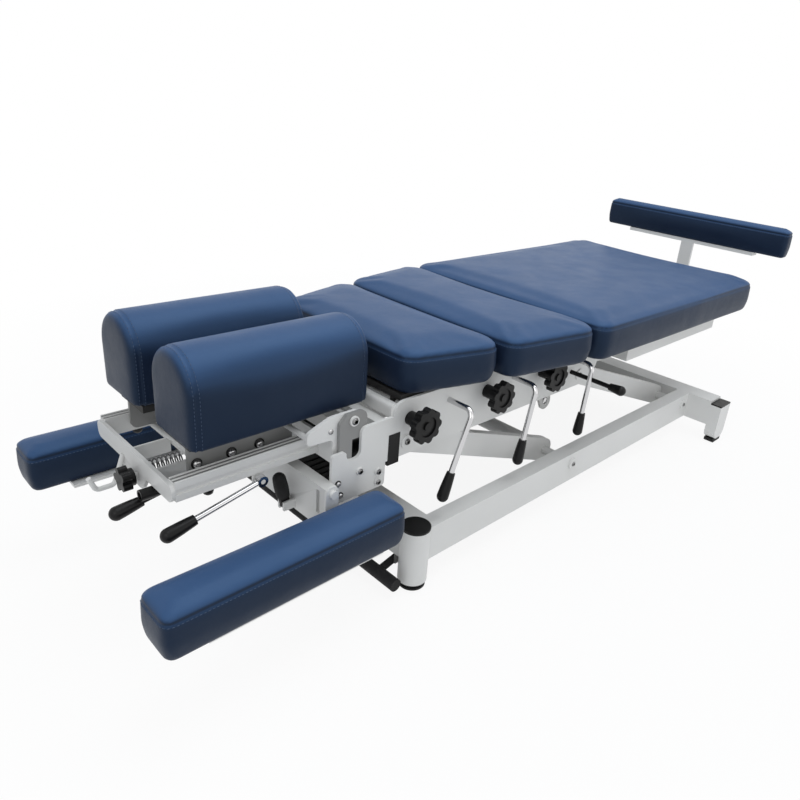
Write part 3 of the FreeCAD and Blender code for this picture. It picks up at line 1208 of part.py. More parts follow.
# Hand levers of the head section: a flat eye, a round rod and a grip.
def hand_lever(name, x, y, z, lean, rod_length, eye_radius, eye_width, rod_radius):
    """Lever that points to the head end and droops by its lean. Returns it and its rod's end."""
    end = (x - rod_length * cosine(lean), y, z - rod_length * sine(lean))
    eye = cross_rod(name + "_eye", x, z, y - eye_width / 2, y + eye_width / 2, eye_radius)
    start = (x - eye_radius * cosine(lean) / 2, y, z - eye_radius * sine(lean) / 2)
    first = Vector(*(float(part) for part in start))
    last = Vector(*(float(part) for part in end))
    bar = doc.addObject("Part::Cylinder", name + "_bar")
    bind(bar, "Radius", rod_radius)
    bind(bar, "Height", rod_length - eye_radius / 2)
    bar.Placement = FreeCAD.Placement(first, FreeCAD.Rotation(Vector(0, 0, 1), last - first))
    bore = cross_rod(name + "_bore", x, z, y - eye_width, y + eye_width,
                     size.small_pin_radius + size.running_gap)
    return cut(name, fuse(name + "_body", [eye, bar]), [bore]), end


def grip_end(end, lean, length):
    return (end[0] - length * cosine(lean), end[1], end[2] - length * sine(lean))


drop_lever, drop_end = hand_lever("head_drop_lever", size.head_lever_x, -size.head_lever_y,
                                  head_lever_height, size.head_lever_lean,
                                  size.head_lever_rod_length, size.head_lever_eye,
                                  size.head_lever_eye_width, size.head_lever_rod_radius)
nodes["head_drop_lever"] = drop_lever
nodes["head_drop_grip"] = hand_grip(
    "head_drop_grip", drop_end, grip_end(drop_end, size.head_lever_lean, size.head_grip_length),
    size.grip_neck_radius, size.grip_end_radius)
release, release_end = hand_lever("head_release_lever_rod", size.release_x, -size.release_y,
                                  release_height, size.release_lean,
                                  size.release_rod_length, size.head_lever_eye,
                                  size.head_lever_eye_width, size.head_lever_rod_radius)
nodes["head_release_lever"] = fuse("head_release_lever", [release, hand_grip(
    "head_release_grip", release_end,
    grip_end(release_end, size.release_lean, size.release_grip_length),
    size.grip_neck_radius, size.grip_end_radius)])
# The lock handle turns about its own rod, which runs through the release mount.
sleeve_rear_x = size.release_x - size.sleeve_rod_length
sleeve_front_x = sleeve_rear_x - size.sleeve_length
sleeve_rod = rod("head_lock_rod", "X", (sleeve_rear_x, -size.sleeve_y, sleeve_height),
                 size.sleeve_rod_length + size.tilt_eye_radius * 2, size.head_lever_rod_radius)
sleeve_grip = rod("head_lock_sleeve", "X", (sleeve_front_x, -size.sleeve_y, sleeve_height),
                  size.sleeve_length, size.sleeve_radius)
nodes["head_lock_lever"] = cut("head_lock_lever", fuse("head_lock_body", [sleeve_rod, sleeve_grip]), [
    rod("head_lock_mouth", "X", (sleeve_front_x, -size.sleeve_y, sleeve_height),
        size.sleeve_bore_depth, size.sleeve_bore_radius)])

# Tilt release: a rubber-covered post that pivots in the crossbar's lugs.
tilt_turn = HALF_TURN + QUARTER_TURN - size.tilt_lever_lean
tilt_post = link("tilt_eye_plate", size.tilt_lever_tail, size.tilt_eye_radius,
                 size.tilt_eye_radius, size.tilt_eye_radius)
swing(tilt_post, size.tilt_lever_x, -size.tilt_lever_y, size.tilt_lever_height, tilt_turn)
tilt_neck = (size.tilt_lever_x - size.tilt_lever_tail * sine(size.tilt_lever_lean), -size.tilt_lever_y,
             size.tilt_lever_height + size.tilt_lever_tail * cosine(size.tilt_lever_lean))
tilt_top = (tilt_neck[0] - size.tilt_lever_length * sine(size.tilt_lever_lean), -size.tilt_lever_y,
            tilt_neck[2] + size.tilt_lever_length * cosine(size.tilt_lever_lean))
tilt_sleeve = hand_grip("tilt_sleeve", tilt_neck, tilt_top, size.tilt_lever_radius,
                        size.tilt_lever_radius + size.running_gap)
tilt_body = fuse("tilt_lever_body", [tilt_post, tilt_sleeve])
nodes["tilt_release_lever"] = cut("tilt_release_lever", tilt_body, [
    cross_rod("tilt_eye_bore", size.tilt_lever_x, size.tilt_lever_height,
              -size.tilt_lever_y - size.tilt_eye_radius, size.tilt_eye_radius - size.tilt_lever_y,
              size.small_pin_radius + size.running_gap)])


# Armrests: an angle-iron arm on the crossbar's pin, below each cushion.
def armrest(side, word):
    ear_inner = size.crossbar_half + size.side_gap
    ear_outer = ear_inner + size.armrest_ear_thickness
    y_from, y_to = span(side, ear_inner, ear_outer)
    low = size.armrest_underside - size.armrest_plate
    ear = block("armrest_ear_web_" + word,
                (size.armrest_pivot_x - size.armrest_ear_radius, y_from, low),
                (size.armrest_pivot_x + size.armrest_ear_radius, y_to, size.armrest_pivot_height))
    eye = cross_rod("armrest_eye_" + word, size.armrest_pivot_x, size.armrest_pivot_height, y_from,
                    y_to, size.armrest_ear_radius)
    shelf_from, shelf_to = span(side, ear_inner, size.armrest_plate_outer_y)
    shelf = block("armrest_shelf_" + word, (size.armrest_plate_front_x, shelf_from, low),
                  (size.armrest_plate_rear_x, shelf_to, size.armrest_underside))
    bore = cross_rod("armrest_bore_" + word, size.armrest_pivot_x, size.armrest_pivot_height,
                     y_from, y_to, size.armrest_pin_radius + size.running_gap)
    nodes["armrest_arm_" + word] = cut("armrest_arm_" + word,
                                       fuse("armrest_arm_body_" + word, [ear, eye, shelf]), [bore])
    y_low, y_high = span(side, size.armrest_inner_y, size.armrest_outer_y)
    corners = [(size.armrest_front_x, y_low), (size.armrest_rear_x, y_low),
               (size.armrest_rear_x, y_high), (size.armrest_front_x, y_high)]
    nodes["armrest_cushion_" + word] = cushion(
        "armrest_cushion_" + word, corners, size.armrest_underside, size.armrest_top,
        size.armrest_corner, size.armrest_edge, size.pad_crown)


sides(armrest)

# Ankle rest: a sliding flat bar turned up into a post, a cross strip and a narrow cushion.
post_bottom = size.ankle_bar_underside
bar_body = block("ankle_bar", (size.ankle_bar_front_x, -size.ankle_post_half, post_bottom),
                 (size.ankle_post_x, size.ankle_post_half, ankle_bar_top))
strip_bottom = size.ankle_pad_underside - size.ankle_strip_height
post = block("ankle_post", (size.ankle_post_x, -size.ankle_post_half, post_bottom),
             (size.ankle_post_x + size.ankle_post_thickness, size.ankle_post_half, strip_bottom))
strip_middle = (size.ankle_pad_front_x + size.ankle_pad_rear_x) / 2
strip = block("ankle_strip", (strip_middle - size.ankle_strip_depth / 2, -size.ankle_strip_half,
                              strip_bottom),
              (strip_middle + size.ankle_strip_depth / 2, size.ankle_strip_half,
               size.ankle_pad_underside))
nodes["ankle_rest_bracket"] = fuse("ankle_rest_bracket", [bar_body, post, strip])
nodes["ankle_cushion"] = cushion(
    "ankle_cushion",
    [(size.ankle_pad_front_x, -size.ankle_pad_half), (size.ankle_pad_rear_x, -size.ankle_pad_half),
     (size.ankle_pad_rear_x, size.ankle_pad_half), (size.ankle_pad_front_x, size.ankle_pad_half)],
    size.ankle_pad_underside, size.ankle_pad_top, size.ankle_corner, size.ankle_edge,
    size.pad_crown)

doc.recompute()
for item in doc.Objects:
    if "Invalid" in item.State or "Error" in item.State:
        raise RuntimeError("%s failed: %s" % (item.Name, item.State))
for node, item in nodes.items():
    if item.Shape.isNull() or not item.Shape.isValid():
        raise RuntimeError("%s has no valid shape" % node)
os.makedirs("parts", exist_ok=True)
for node, item in nodes.items():
    item.Label = node
    item.Shape.exportStep("parts/%s.step" % node)
print(len(nodes), "sub-parts,", sum(len(item.Shape.Solids) for item in nodes.values()), "solids")
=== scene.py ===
import math

import bmesh
import bpy
import numpy as np
from mathutils import Matrix, Vector
from mathutils.bvhtree import BVHTree


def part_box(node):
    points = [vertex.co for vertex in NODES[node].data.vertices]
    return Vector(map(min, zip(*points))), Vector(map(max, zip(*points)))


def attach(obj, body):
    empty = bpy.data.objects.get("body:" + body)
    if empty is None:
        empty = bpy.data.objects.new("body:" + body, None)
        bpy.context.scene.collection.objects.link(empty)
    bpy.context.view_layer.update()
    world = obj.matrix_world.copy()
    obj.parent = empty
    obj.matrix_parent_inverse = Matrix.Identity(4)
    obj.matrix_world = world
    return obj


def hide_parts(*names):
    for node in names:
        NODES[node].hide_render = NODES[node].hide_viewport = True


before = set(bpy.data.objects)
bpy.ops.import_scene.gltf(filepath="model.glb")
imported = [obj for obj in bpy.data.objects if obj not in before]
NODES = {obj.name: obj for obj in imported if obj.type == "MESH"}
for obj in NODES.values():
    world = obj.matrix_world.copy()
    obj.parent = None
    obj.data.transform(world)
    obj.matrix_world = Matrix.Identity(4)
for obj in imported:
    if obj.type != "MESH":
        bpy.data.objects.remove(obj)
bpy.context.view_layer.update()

# Viewpoint.
# The table is seen from its head end, a little above the cushions, through a moderate wide lens.
scene = bpy.context.scene
scene.view_settings.view_transform = "Standard"
yaw, pitch, roll = 0.7468, 0.4018, 0.0911
ahead = Vector((math.cos(yaw) * math.cos(pitch), math.sin(yaw) * math.cos(pitch), -math.sin(pitch)))
flat_right = Vector((math.sin(yaw), -math.cos(yaw), 0))
flat_up = flat_right.cross(ahead)
right = flat_right * math.cos(roll) + flat_up * math.sin(roll)
up = flat_up * math.cos(roll) - flat_right * math.sin(roll)
camera_data = bpy.data.cameras.new("camera")
camera_data.lens = 30.50
camera_data.sensor_width = 36.0
camera_data.shift_x = -0.0461
camera_data.shift_y = -0.0225
camera = bpy.data.objects.new("camera", camera_data)
scene.collection.objects.link(camera)
turn = Matrix((right, up, -ahead)).transposed().to_4x4()
camera.matrix_world = Matrix.Translation((-1.2207, -0.9464, 0.8394)) @ turn
scene.camera = camera


# Studio light.
# A broad lamp overhead, one at the head end and a large soft one along the near side.
def area_light(name, place, target, width, power, tint):
    data = bpy.data.lights.new(name, "AREA")
    data.shape = "DISK"
    data.size = width
    data.energy = power
    data.color = tint
    lamp = bpy.data.objects.new(name, data)
    lamp.location = place
    lamp.rotation_euler = (Vector(target) - Vector(place)).to_track_quat("-Z", "Y").to_euler()
    scene.collection.objects.link(lamp)


area_light("overhead", (0.4, -0.3, 3.2), (0.0, 0.0, 0.3), 2.8, 48, (0.93, 0.97, 1.0))
area_light("window", (-2.8, -1.6, 2.3), (-0.3, 0.0, 0.3), 2.2, 18, (1.0, 1.0, 1.0))
area_light("near_fill", (0.9, -3.2, 1.0), (0.2, 0.0, 0.3), 2.4, 9, (1.0, 0.97, 0.93))


def join(tree, source, out, target, into):
    tree.links.new(source.outputs[out], target.inputs[into])


def seen_white(tree):
    """1 for the eye, for mirrors and through glass, and 0 for the light on the object."""
    path = tree.nodes.new("ShaderNodeLightPath")
    last = path
    last_out = "Is Camera Ray"
    for ray in ("Is Glossy Ray", "Is Transmission Ray"):
        either = tree.nodes.new("ShaderNodeMath")
        either.operation = "MAXIMUM"
        join(tree, last, last_out, either, 0)
        join(tree, path, ray, either, 1)
        last, last_out = either, 0
    return last


world = bpy.data.worlds.new("studio")
world.use_nodes = True
scene.world = world
tree = world.node_tree
tree.nodes.clear()
white_sky = tree.nodes.new("ShaderNodeBackground")
white_sky.inputs["Color"].default_value = (1, 1, 1, 1)
soft_sky = tree.nodes.new("ShaderNodeBackground")
soft_sky.inputs["Color"].default_value = (0.93, 0.96, 1, 1)
soft_sky.inputs["Strength"].default_value = 0.46
choice = tree.nodes.new("ShaderNodeMixShader")
join(tree, seen_white(tree), 0, choice, 0)
join(tree, soft_sky, "Background", choice, 1)
join(tree, white_sky, "Background", choice, 2)
sky_out = tree.nodes.new("ShaderNodeOutputWorld")
join(tree, choice, 0, sky_out, "Surface")

# Floor.
# A wide pale sheet that keeps a faint shadow under the table and fades to white around it.
FLOOR_REACH, FLOOR_GAP = 14, 0.0005
floor_mesh = bpy.data.meshes.new("floor")
corners = [(x * FLOOR_REACH, y * FLOOR_REACH, 0) for x, y in ((-1, -1), (1, -1), (1, 1), (-1, 1))]
floor_mesh.from_pydata(corners, [], [(0, 1, 2, 3)])
floor = bpy.data.objects.new("floor", floor_mesh)
floor.location.z = -FLOOR_GAP
scene.collection.objects.link(floor)
floor_finish = bpy.data.materials.new("floor_finish")
floor_finish.use_nodes = True
tree = floor_finish.node_tree
tree.nodes.clear()
spot = tree.nodes.new("ShaderNodeTexCoord")
reach = tree.nodes.new("ShaderNodeVectorMath")
reach.operation = "LENGTH"
join(tree, spot, "Object", reach, 0)
fade = tree.nodes.new("ShaderNodeMapRange")
fade.inputs["From Min"].default_value = 0.5
fade.inputs["From Max"].default_value = 1.9
fade.inputs["To Min"].default_value = 0.90
fade.inputs["To Max"].default_value = 1.0
join(tree, reach, "Value", fade, "Value")
amount = tree.nodes.new("ShaderNodeMath")
amount.operation = "MULTIPLY"
join(tree, fade, "Result", amount, 0)
join(tree, seen_white(tree), 0, amount, 1)
paint = tree.nodes.new("ShaderNodeBsdfDiffuse")
paint.inputs["Color"].default_value = (0.92, 0.92, 0.92, 1)
glow = tree.nodes.new("ShaderNodeEmission")
glow.inputs["Color"].default_value = (1, 1, 1, 1)
blend = tree.nodes.new("ShaderNodeMixShader")
join(tree, amount, 0, blend, 0)
join(tree, paint, 0, blend, 1)
join(tree, glow, 0, blend, 2)
floor_out = tree.nodes.new("ShaderNodeOutputMaterial")
join(tree, blend, 0, floor_out, "Surface")
floor_mesh.materials.append(floor_finish)


# Base frame.
# Rectangular steel tube welded into two long rails and two cross beams on four posts, all powder
# coated white: an orange-peel surface, with painted shade that darkens it in hollow creases and corners.
def finish(name, metallic, roughness):
    made = bpy.data.materials.new(name)
    made.use_nodes = True
    shader = made.node_tree.nodes["Principled BSDF"]
    shader.inputs["Metallic"].default_value = metallic
    shader.inputs["Roughness"].default_value = roughness
    return made, made.node_tree, shader


def noise(tree, scale, detail=4.0, stretch=(1, 1, 1)):
    place = tree.nodes.new("ShaderNodeTexCoord")
    mapping = tree.nodes.new("ShaderNodeMapping")
    mapping.inputs["Scale"].default_value = stretch
    texture = tree.nodes.new("ShaderNodeTexNoise")
    texture.inputs["Scale"].default_value = scale
    texture.inputs["Detail"].default_value = detail
    join(tree, place, "Object", mapping, "Vector")
    join(tree, mapping, "Vector", texture, "Vector")
    return texture


def ramp(tree, source, out, low, high, low_colour, high_colour):
    colours = tree.nodes.new("ShaderNodeValToRGB")
    colours.color_ramp.elements[0].position = low
    colours.color_ramp.elements[1].position = high
    colours.color_ramp.elements[0].color = (*low_colour, 1)
    colours.color_ramp.elements[1].color = (*high_colour, 1)
    join(tree, source, out, colours, "Fac")
    return colours


def grey_ramp(tree, source, out, low, high, low_value, high_value):
    return ramp(tree, source, out, low, high, (low_value,) * 3, (high_value,) * 3)


def mix(tree, kind, factor, first, second):
    mixed = tree.nodes.new("ShaderNodeMix")
    mixed.data_type = "RGBA"
    mixed.blend_type = kind
    if isinstance(factor, float):
        mixed.inputs["Factor"].default_value = factor
    else:
        tree.links.new(factor.outputs[0], mixed.inputs["Factor"])
    tree.links.new(first, mixed.inputs[6])
    tree.links.new(second, mixed.inputs[7])
    return mixed.outputs[2]


def bump(tree, shader, source, out, strength, distance, under=None):
    relief = tree.nodes.new("ShaderNodeBump")
    relief.inputs["Strength"].default_value = strength
    relief.inputs["Distance"].default_value = distance
    join(tree, source, out, relief, "Height")
    if under is not None:
        join(tree, under, "Normal", relief, "Normal")
    join(tree, relief, "Normal", shader, "Normal")
    return relief


WHITE = ((0.80, 0.80, 0.785), (0.745, 0.745, 0.73))
# The grey coat below is also painted shade where it dresses the head carriage plates and the rail
# grooves.
GREY_AND_SHADE = ((0.29, 0.29, 0.285), (0.23, 0.23, 0.225))
BRACKETS_END = -0.545


def powder_coat(name, colours, bracket_colours=None):
    made, tree, shader = finish(name, 0.0, 0.42)
    clouds = noise(tree, 5.0, 3.0)
    tint = ramp(tree, clouds, "Fac", 0.3, 0.7, colours[1], colours[0]).outputs["Color"]
    if bracket_colours:
        # The two pivot brackets stand well ahead of and outside the channels of the same node.
        place = tree.nodes.new("ShaderNodeTexCoord")
        axes = tree.nodes.new("ShaderNodeSeparateXYZ")
        join(tree, place, "Object", axes, "Vector")
        forward = tree.nodes.new("ShaderNodeMath")
        forward.operation = "LESS_THAN"
        forward.inputs[1].default_value = BRACKETS_END
        join(tree, axes, "X", forward, 0)
        greyer = ramp(tree, clouds, "Fac", 0.3, 0.7, bracket_colours[1], bracket_colours[0])
        tint = mix(tree, "MIX", forward, tint, greyer.outputs["Color"])
    # Painted shade: hollow creases and corners, found by the mesh's pointiness, are darkened.
    edges = tree.nodes.new("ShaderNodeNewGeometry")
    crease_shade_colour = tuple(0.72 * part for part in colours[1])
    painted_crease_shade = ramp(tree, edges, "Pointiness", 0.42, 0.5, crease_shade_colour, (1, 1, 1))
    coat = mix(tree, "MULTIPLY", 0.35, tint, painted_crease_shade.outputs["Color"])
    tree.links.new(coat, shader.inputs["Base Color"])
    bump(tree, shader, noise(tree, 420.0, 2.0), "Fac", 0.25, 0.0004)
    gloss = grey_ramp(tree, noise(tree, 12.0, 4.0), "Fac", 0.3, 0.7, 0.34, 0.46)
    join(tree, gloss, "Color", shader, "Roughness")
    return made


white_coat = powder_coat("white_coat", WHITE)
grey_coat_and_shade = powder_coat("grey_coat_and_shade", GREY_AND_SHADE)


def dress(node, material, edge=0.0):
    """Gives a CAD piece its finish, and softens its sharp edges by that many metres."""
    piece = NODES[node]
    if not piece.material_slots:
        piece.data.materials.append(material)
    for place in piece.material_slots:
        place.link = "OBJECT"
        place.material = material
    if edge:
        soft = piece.modifiers.new("soft_edges", "BEVEL")
        soft.width = edge
        soft.segments = 2
        soft.limit_method = "ANGLE"
        soft.angle_limit = math.radians(50)


for node in ("base_rails", "front_cross_beam", "rear_cross_beam", "corner_posts"):
    dress(node, white_coat, 0.003)


# Caps and feet.
# Moulded black caps are pressed into the posts, and the table stands on turned rubber feet.
def moulded(name, low, high, rough_low, rough_high, grit):
    made, tree, shader = finish(name, 0.0, rough_high)
    shader.inputs["Specular IOR Level"].default_value = 0.2
    tone = ramp(tree, noise(tree, 30.0), "Fac", 0.3, 0.7, (low,) * 3, (high, high, high * 1.06))
    join(tree, tone, "Color", shader, "Base Color")
    bump(tree, shader, noise(tree, grit, 2.0), "Fac", 0.3, 0.0003)
    gloss = grey_ramp(tree, noise(tree, 55.0), "Fac", 0.3, 0.7, rough_low, rough_high)
    join(tree, gloss, "Color", shader, "Roughness")
    return made


plastic = moulded("plastic", 0.005, 0.009, 0.30, 0.42, 700.0)
rubber = moulded("rubber", 0.012, 0.022, 0.6, 0.75, 350.0)
dress("post_caps", plastic, 0.0012)
dress("feet", rubber, 0.001)

# Axles and foot bar.
# Two axles, painted like the frame, run right across the rails and carry the lifting arms. The
# rubber bar in front of the front beam hangs on two ears.
dress("base_axles", white_coat, 0.0015)
dress("foot_bar_brackets", grey_coat_and_shade, 0.0006)
dress("foot_bar", rubber, 0.001)

# Axle bolts.
# A zinc plated button head with a hexagon socket closes each painted axle end. The same screws,
# in other sizes, hold the pieces further up.
zinc, tree, shader = finish("zinc", 1.0, 0.3)
plating = ramp(tree, noise(tree, 80.0), "Fac", 0.3, 0.7, (0.30, 0.30, 0.31), (0.52, 0.52, 0.52))
join(tree, plating, "Color", shader, "Base Color")
bump(tree, shader, noise(tree, 300.0), "Fac", 0.15, 0.0002)


def islands(node):
    """Lowest and highest corner of each loose piece of a CAD node."""
    mesh = NODES[node].data
    parent = list(range(len(mesh.vertices)))

    def root(index):
        while parent[index] != index:
            parent[index] = parent[parent[index]]
            index = parent[index]
        return index

    for edge in mesh.edges:
        parent[root(edge.vertices[0])] = root(edge.vertices[1])
    groups = {}
    for vertex in mesh.vertices:
        groups.setdefault(root(vertex.index), []).append(vertex.co)
    return [(Vector([min(point[axis] for point in points) for axis in range(3)]),
             Vector([max(point[axis] for point in points) for axis in range(3)]))
            for points in groups.values()]


def lathe(mesh, rows, matrix, steps=24):
    """Turned shape from rows of (radius, height, corners); six corners make a hexagonal row."""
    rings = []
    for radius, height, corners in rows:
        ring = []
        for number in range(steps):
            angle = 2 * math.pi * number / steps
            out = radius
            if corners:
                side = 2 * math.pi / corners
                out = radius * math.cos(side / 2) / math.cos(angle % side - side / 2)
            spot = Vector((out * math.cos(angle), out * math.sin(angle), height))
            ring.append(mesh.verts.new(matrix @ spot))
        rings.append(ring)
    for first, second in zip(rings, rings[1:]):
        for number in range(steps):
            after = (number + 1) % steps
            mesh.faces.new((first[number], first[after], second[after], second[number]))
    mesh.faces.new(rings[-1])
    mesh.faces.new(tuple(reversed(rings[0])))


SMOOTH_BELOW = math.radians(35)


def finished(mesh, name, material, body):
    """Makes a mesh a piece on its body, shaded smooth where it bends by less than SMOOTH_BELOW."""
    data = bpy.data.meshes.new(name)
    bmesh.ops.recalc_face_normals(mesh, faces=mesh.faces)
    mesh.to_mesh(data)
    mesh.free()
    data.materials.append(material)
    data.shade_smooth()
    data.set_sharp_from_angle(angle=SMOOTH_BELOW)
    piece = bpy.data.objects.new(name, data)
    scene.collection.objects.link(piece)
    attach(piece, body)
    return piece


def facing(place, direction):
    """Matrix that stands a turned shape on a place, with its axis along a direction."""
    aim = Vector(direction).to_track_quat("Z", "Y").to_matrix().to_4x4()
    return Matrix.Translation(place) @ aim


def button_head(mesh, place, direction, radius, height):
    """Domed head; its last two rows are the rim and the floor of the hexagon socket."""
    rows = [(radius, 0, 0), (radius, height * 0.22, 0), (radius * 0.93, height * 0.52, 0),
            (radius * 0.76, height * 0.82, 0), (radius * 0.58, height, 0), (radius * 0.50, height, 6),
            (radius * 0.46, height * 0.45, 6)]
    lathe(mesh, rows, facing(place, direction))


AXLE_BOLT_RADIUS = 0.0055
axle_bolts = bmesh.new()
for low, high in islands("base_axles"):
    for side in (-1, 1):
        place = Vector(((low.x + high.x) / 2, side * high.y, (low.z + high.z) / 2))
        button_head(axle_bolts, place, (0, side, 0), AXLE_BOLT_RADIUS, AXLE_BOLT_RADIUS / 2)
finished(axle_bolts, "axle_bolts", zinc, "root")

# Lift.
# Two pairs of flat arms, joined by a tube in front and by a shaft with two lever plates behind,
# and the electric actuator that pushes them: ribbed motor housing, tube and plated rod.
for node in ("front_lift_arms", "rear_lift_arms"):
    dress(node, white_coat, 0.0025)
for node in ("front_torque_tube", "rear_top_shaft", "lift_lever_plates"):
    dress(node, white_coat, 0.0008)
chrome, tree, shader = finish("chrome", 1.0, 0.12)
shader.inputs["Base Color"].default_value = (0.62, 0.62, 0.63, 1)
bump(tree, shader, noise(tree, 130.0, 2.0, (1, 1, 0.1)), "Fac", 0.05, 0.0002)
smear = grey_ramp(tree, noise(tree, 40.0, 4.0), "Fac", 0.35, 0.7, 0.08, 0.2)
join(tree, smear, "Color", shader, "Roughness")
dress("actuator_motor", plastic, 0.0012)
dress("actuator_tube", plastic, 0.001)
dress("actuator_rod", chrome, 0.0008)

# Lifting frame.
# Laser cut side plates with a notched lug, channels between them, and rails under the long
# cushion, all white. Only the two round-headed pivot brackets in front are grey.
for node in ("side_plate_near", "side_plate_far"):
    dress(node, white_coat, 0.0008)
dress("frame_cross_members", powder_coat("member_coat", WHITE, GREY_AND_SHADE), 0.0012)
for node in ("front_crossbar", "pelvic_rails"):
    dress(node, white_coat, 0.0015)
dress("plate_inserts", plastic, 0.0005)
board_stain, tree, shader = finish("board_stain", 0.0, 0.6)
plies = noise(tree, 40.0, 6.0, (1, 1, 12))
stain = ramp(tree, plies, "Fac", 0.3, 0.7, (0.010, 0.010, 0.010), (0.026, 0.025, 0.024))
join(tree, stain, "Color", shader, "Base Color")
bump(tree, shader, plies, "Fac", 0.3, 0.0006)
for section in ("thoracic", "lumbar", "pelvic"):
    dress(section + "_board", board_stain, 0.0008)


# Frame bolts.
# Painted pins and bosses, each with a zinc plated button head that covers three quarters of it
# or less.
dress("frame_bolts", white_coat, 0.001)
FRAME_BOLT_RADIUS, FRAME_BOLT_SHARE = 0.0062, 0.75
bolts = bmesh.new()
for low, high in islands("frame_bolts"):
    middle = (low + high) / 2
    side = 1 if middle.y > 0 else -1
    place = Vector((middle.x, high.y if side > 0 else low.y, middle.z))
    radius = min((high.x - low.x) / 2 * FRAME_BOLT_SHARE, FRAME_BOLT_RADIUS)
    button_head(bolts, place, (0, side, 0), radius, radius / 2)
finished(bolts, "frame_bolt_heads", zinc, "top_frame")

# Lug screws.
# Two zinc plated socket screws near the front foot of each notched lug, on black rings that are washers
# and also painted shade round each head.
PLATE_OUTER = 0.190
LUG_SCREW_PLACES = ((-0.6200, 0.2360), (-0.6150, 0.2120))
LUG_SCREW_RADIUS, LUG_SCREW_HEIGHT = 0.0045, 0.0030
# Black rings under the screw heads: washers, and also painted shade round each head.
LUG_WASHER_SHADE_ROWS = ((0.0062, 0, 0), (0.0062, 0.0012, 0), (0.0055, 0.0016, 0))
screws, washer_shade_rings = bmesh.new(), bmesh.new()
for side in (-1, 1):
    for x, z in LUG_SCREW_PLACES:
        place = Vector((x, side * PLATE_OUTER, z))
        lathe(washer_shade_rings, LUG_WASHER_SHADE_ROWS, facing(place, (0, side, 0)))
        place.y += side * LUG_WASHER_SHADE_ROWS[-1][1]
        button_head(screws, place, (0, side, 0), LUG_SCREW_RADIUS, LUG_SCREW_HEIGHT)
finished(screws, "lug_screws", zinc, "top_frame")
finished(washer_shade_rings, "lug_washer_shade_rings", plastic, "top_frame")

# Front cover.
# A folded white sheet with a rounded upper edge closes the frame between the side plates, just in
# front of the thoracic cushion.
COVER_OUTLINE = ((-0.505, 0.316), (-0.505, 0.344), (-0.484, 0.344), (-0.484, 0.316))
PLATE_INNER, COVER_ROUND = 0.184, 0.009


def plate_outline(corners, radius, steps=4):
    """Corners in X and Z, each turned into a short curve that starts that far before it."""
    outline = []
    for number, corner in enumerate(corners):
        corner = Vector(corner)
        before = Vector(corners[number - 1]) - corner
        after = Vector(corners[(number + 1) % len(corners)]) - corner
        start = corner + before.normalized() * min(radius, before.length * 0.45)
        end = corner + after.normalized() * min(radius, after.length * 0.45)
        for step in range(steps + 1):
            share = step / steps
            outline.append(start.lerp(corner, share).lerp(corner.lerp(end, share), share))
    return outline


def upright_plate(mesh, outline, y_from, y_to):
    """Flat plate with that outline in X and Z."""
    sides = [[mesh.verts.new((x, y, z)) for x, z in outline] for y in (y_from, y_to)]
    mesh.faces.new(sides[0])
    mesh.faces.new(tuple(reversed(sides[1])))
    for number in range(len(outline)):
        after = (number + 1) % len(outline)
        mesh.faces.new((sides[0][number], sides[0][after], sides[1][after], sides[1][number]))


cover = bmesh.new()
upright_plate(cover, plate_outline(COVER_OUTLINE, COVER_ROUND), -PLATE_INNER, PLATE_INNER)
finished(cover, "front_cover", white_coat, "top_frame")

# Section levers and knobs.
# Bent plated rods with tapered moulded grips cock the sections, and lobed knobs set the tension.
for section in ("thoracic", "lumbar", "pelvic"):
    dress(section + "_lever", chrome)
    dress(section + "_lever_grip", plastic)
    dress(section + "_tension_knob", plastic, 0.0012)
dress("rear_release_lever", plastic)

# Head frame.
# White arms on the tilt pivots, two extruded rails and the lobed plate that closes them in front.
# Three lips stand on each rail, and a grey strip at the foot of the grooves between them is painted
# shade.
ARM_INNER, ARM_OUTER, ARM_CORNER = 0.1706, 0.1766, 0.007
ARM_OUTLINE = ((-0.672, 0.316), (-0.672, 0.337), (-0.628, 0.354), (-0.571, 0.354), (-0.571, 0.320),
               (-0.606, 0.300), (-0.606, 0.262), (-0.622, 0.262), (-0.622, 0.313))
arms = bmesh.new()
for side in (-1, 1):
    upright_plate(arms, plate_outline(ARM_OUTLINE, ARM_CORNER), side * ARM_INNER, side * ARM_OUTER)
arm_pair = finished(arms, "head_arm_pair", white_coat, "head_frame")
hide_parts("head_arm_plates")
dress("head_cross_plate", white_coat, 0.0008)
dress("head_rails", white_coat, 0.0012)
dress("head_front_plate", white_coat, 0.0008)
RAIL_INNER, RAIL_OUTER, RAIL_TOP, RAIL_FRONT, RAIL_REAR = 0.113, 0.133, 0.301, -0.866, -0.618
LIP_WIDTH, LIP_HEIGHT, GROOVE_HEIGHT = 0.0032, 0.0020, 0.0003


def lip(mesh, low, high):
    """Long bar along X with chamfered upper edges."""
    cut = (high.z - low.z) / 2
    outline = [(low.y, low.z), (high.y, low.z), (high.y, high.z - cut), (high.y - cut, high.z),
               (low.y + cut, high.z), (low.y, high.z - cut)]
    ends = [[mesh.verts.new((x, y, z)) for y, z in outline] for x in (low.x, high.x)]
    mesh.faces.new(ends[0])
    mesh.faces.new(tuple(reversed(ends[1])))
    for number in range(len(outline)):
        after = (number + 1) % len(outline)
        mesh.faces.new((ends[0][number], ends[0][after], ends[1][after], ends[1][number]))
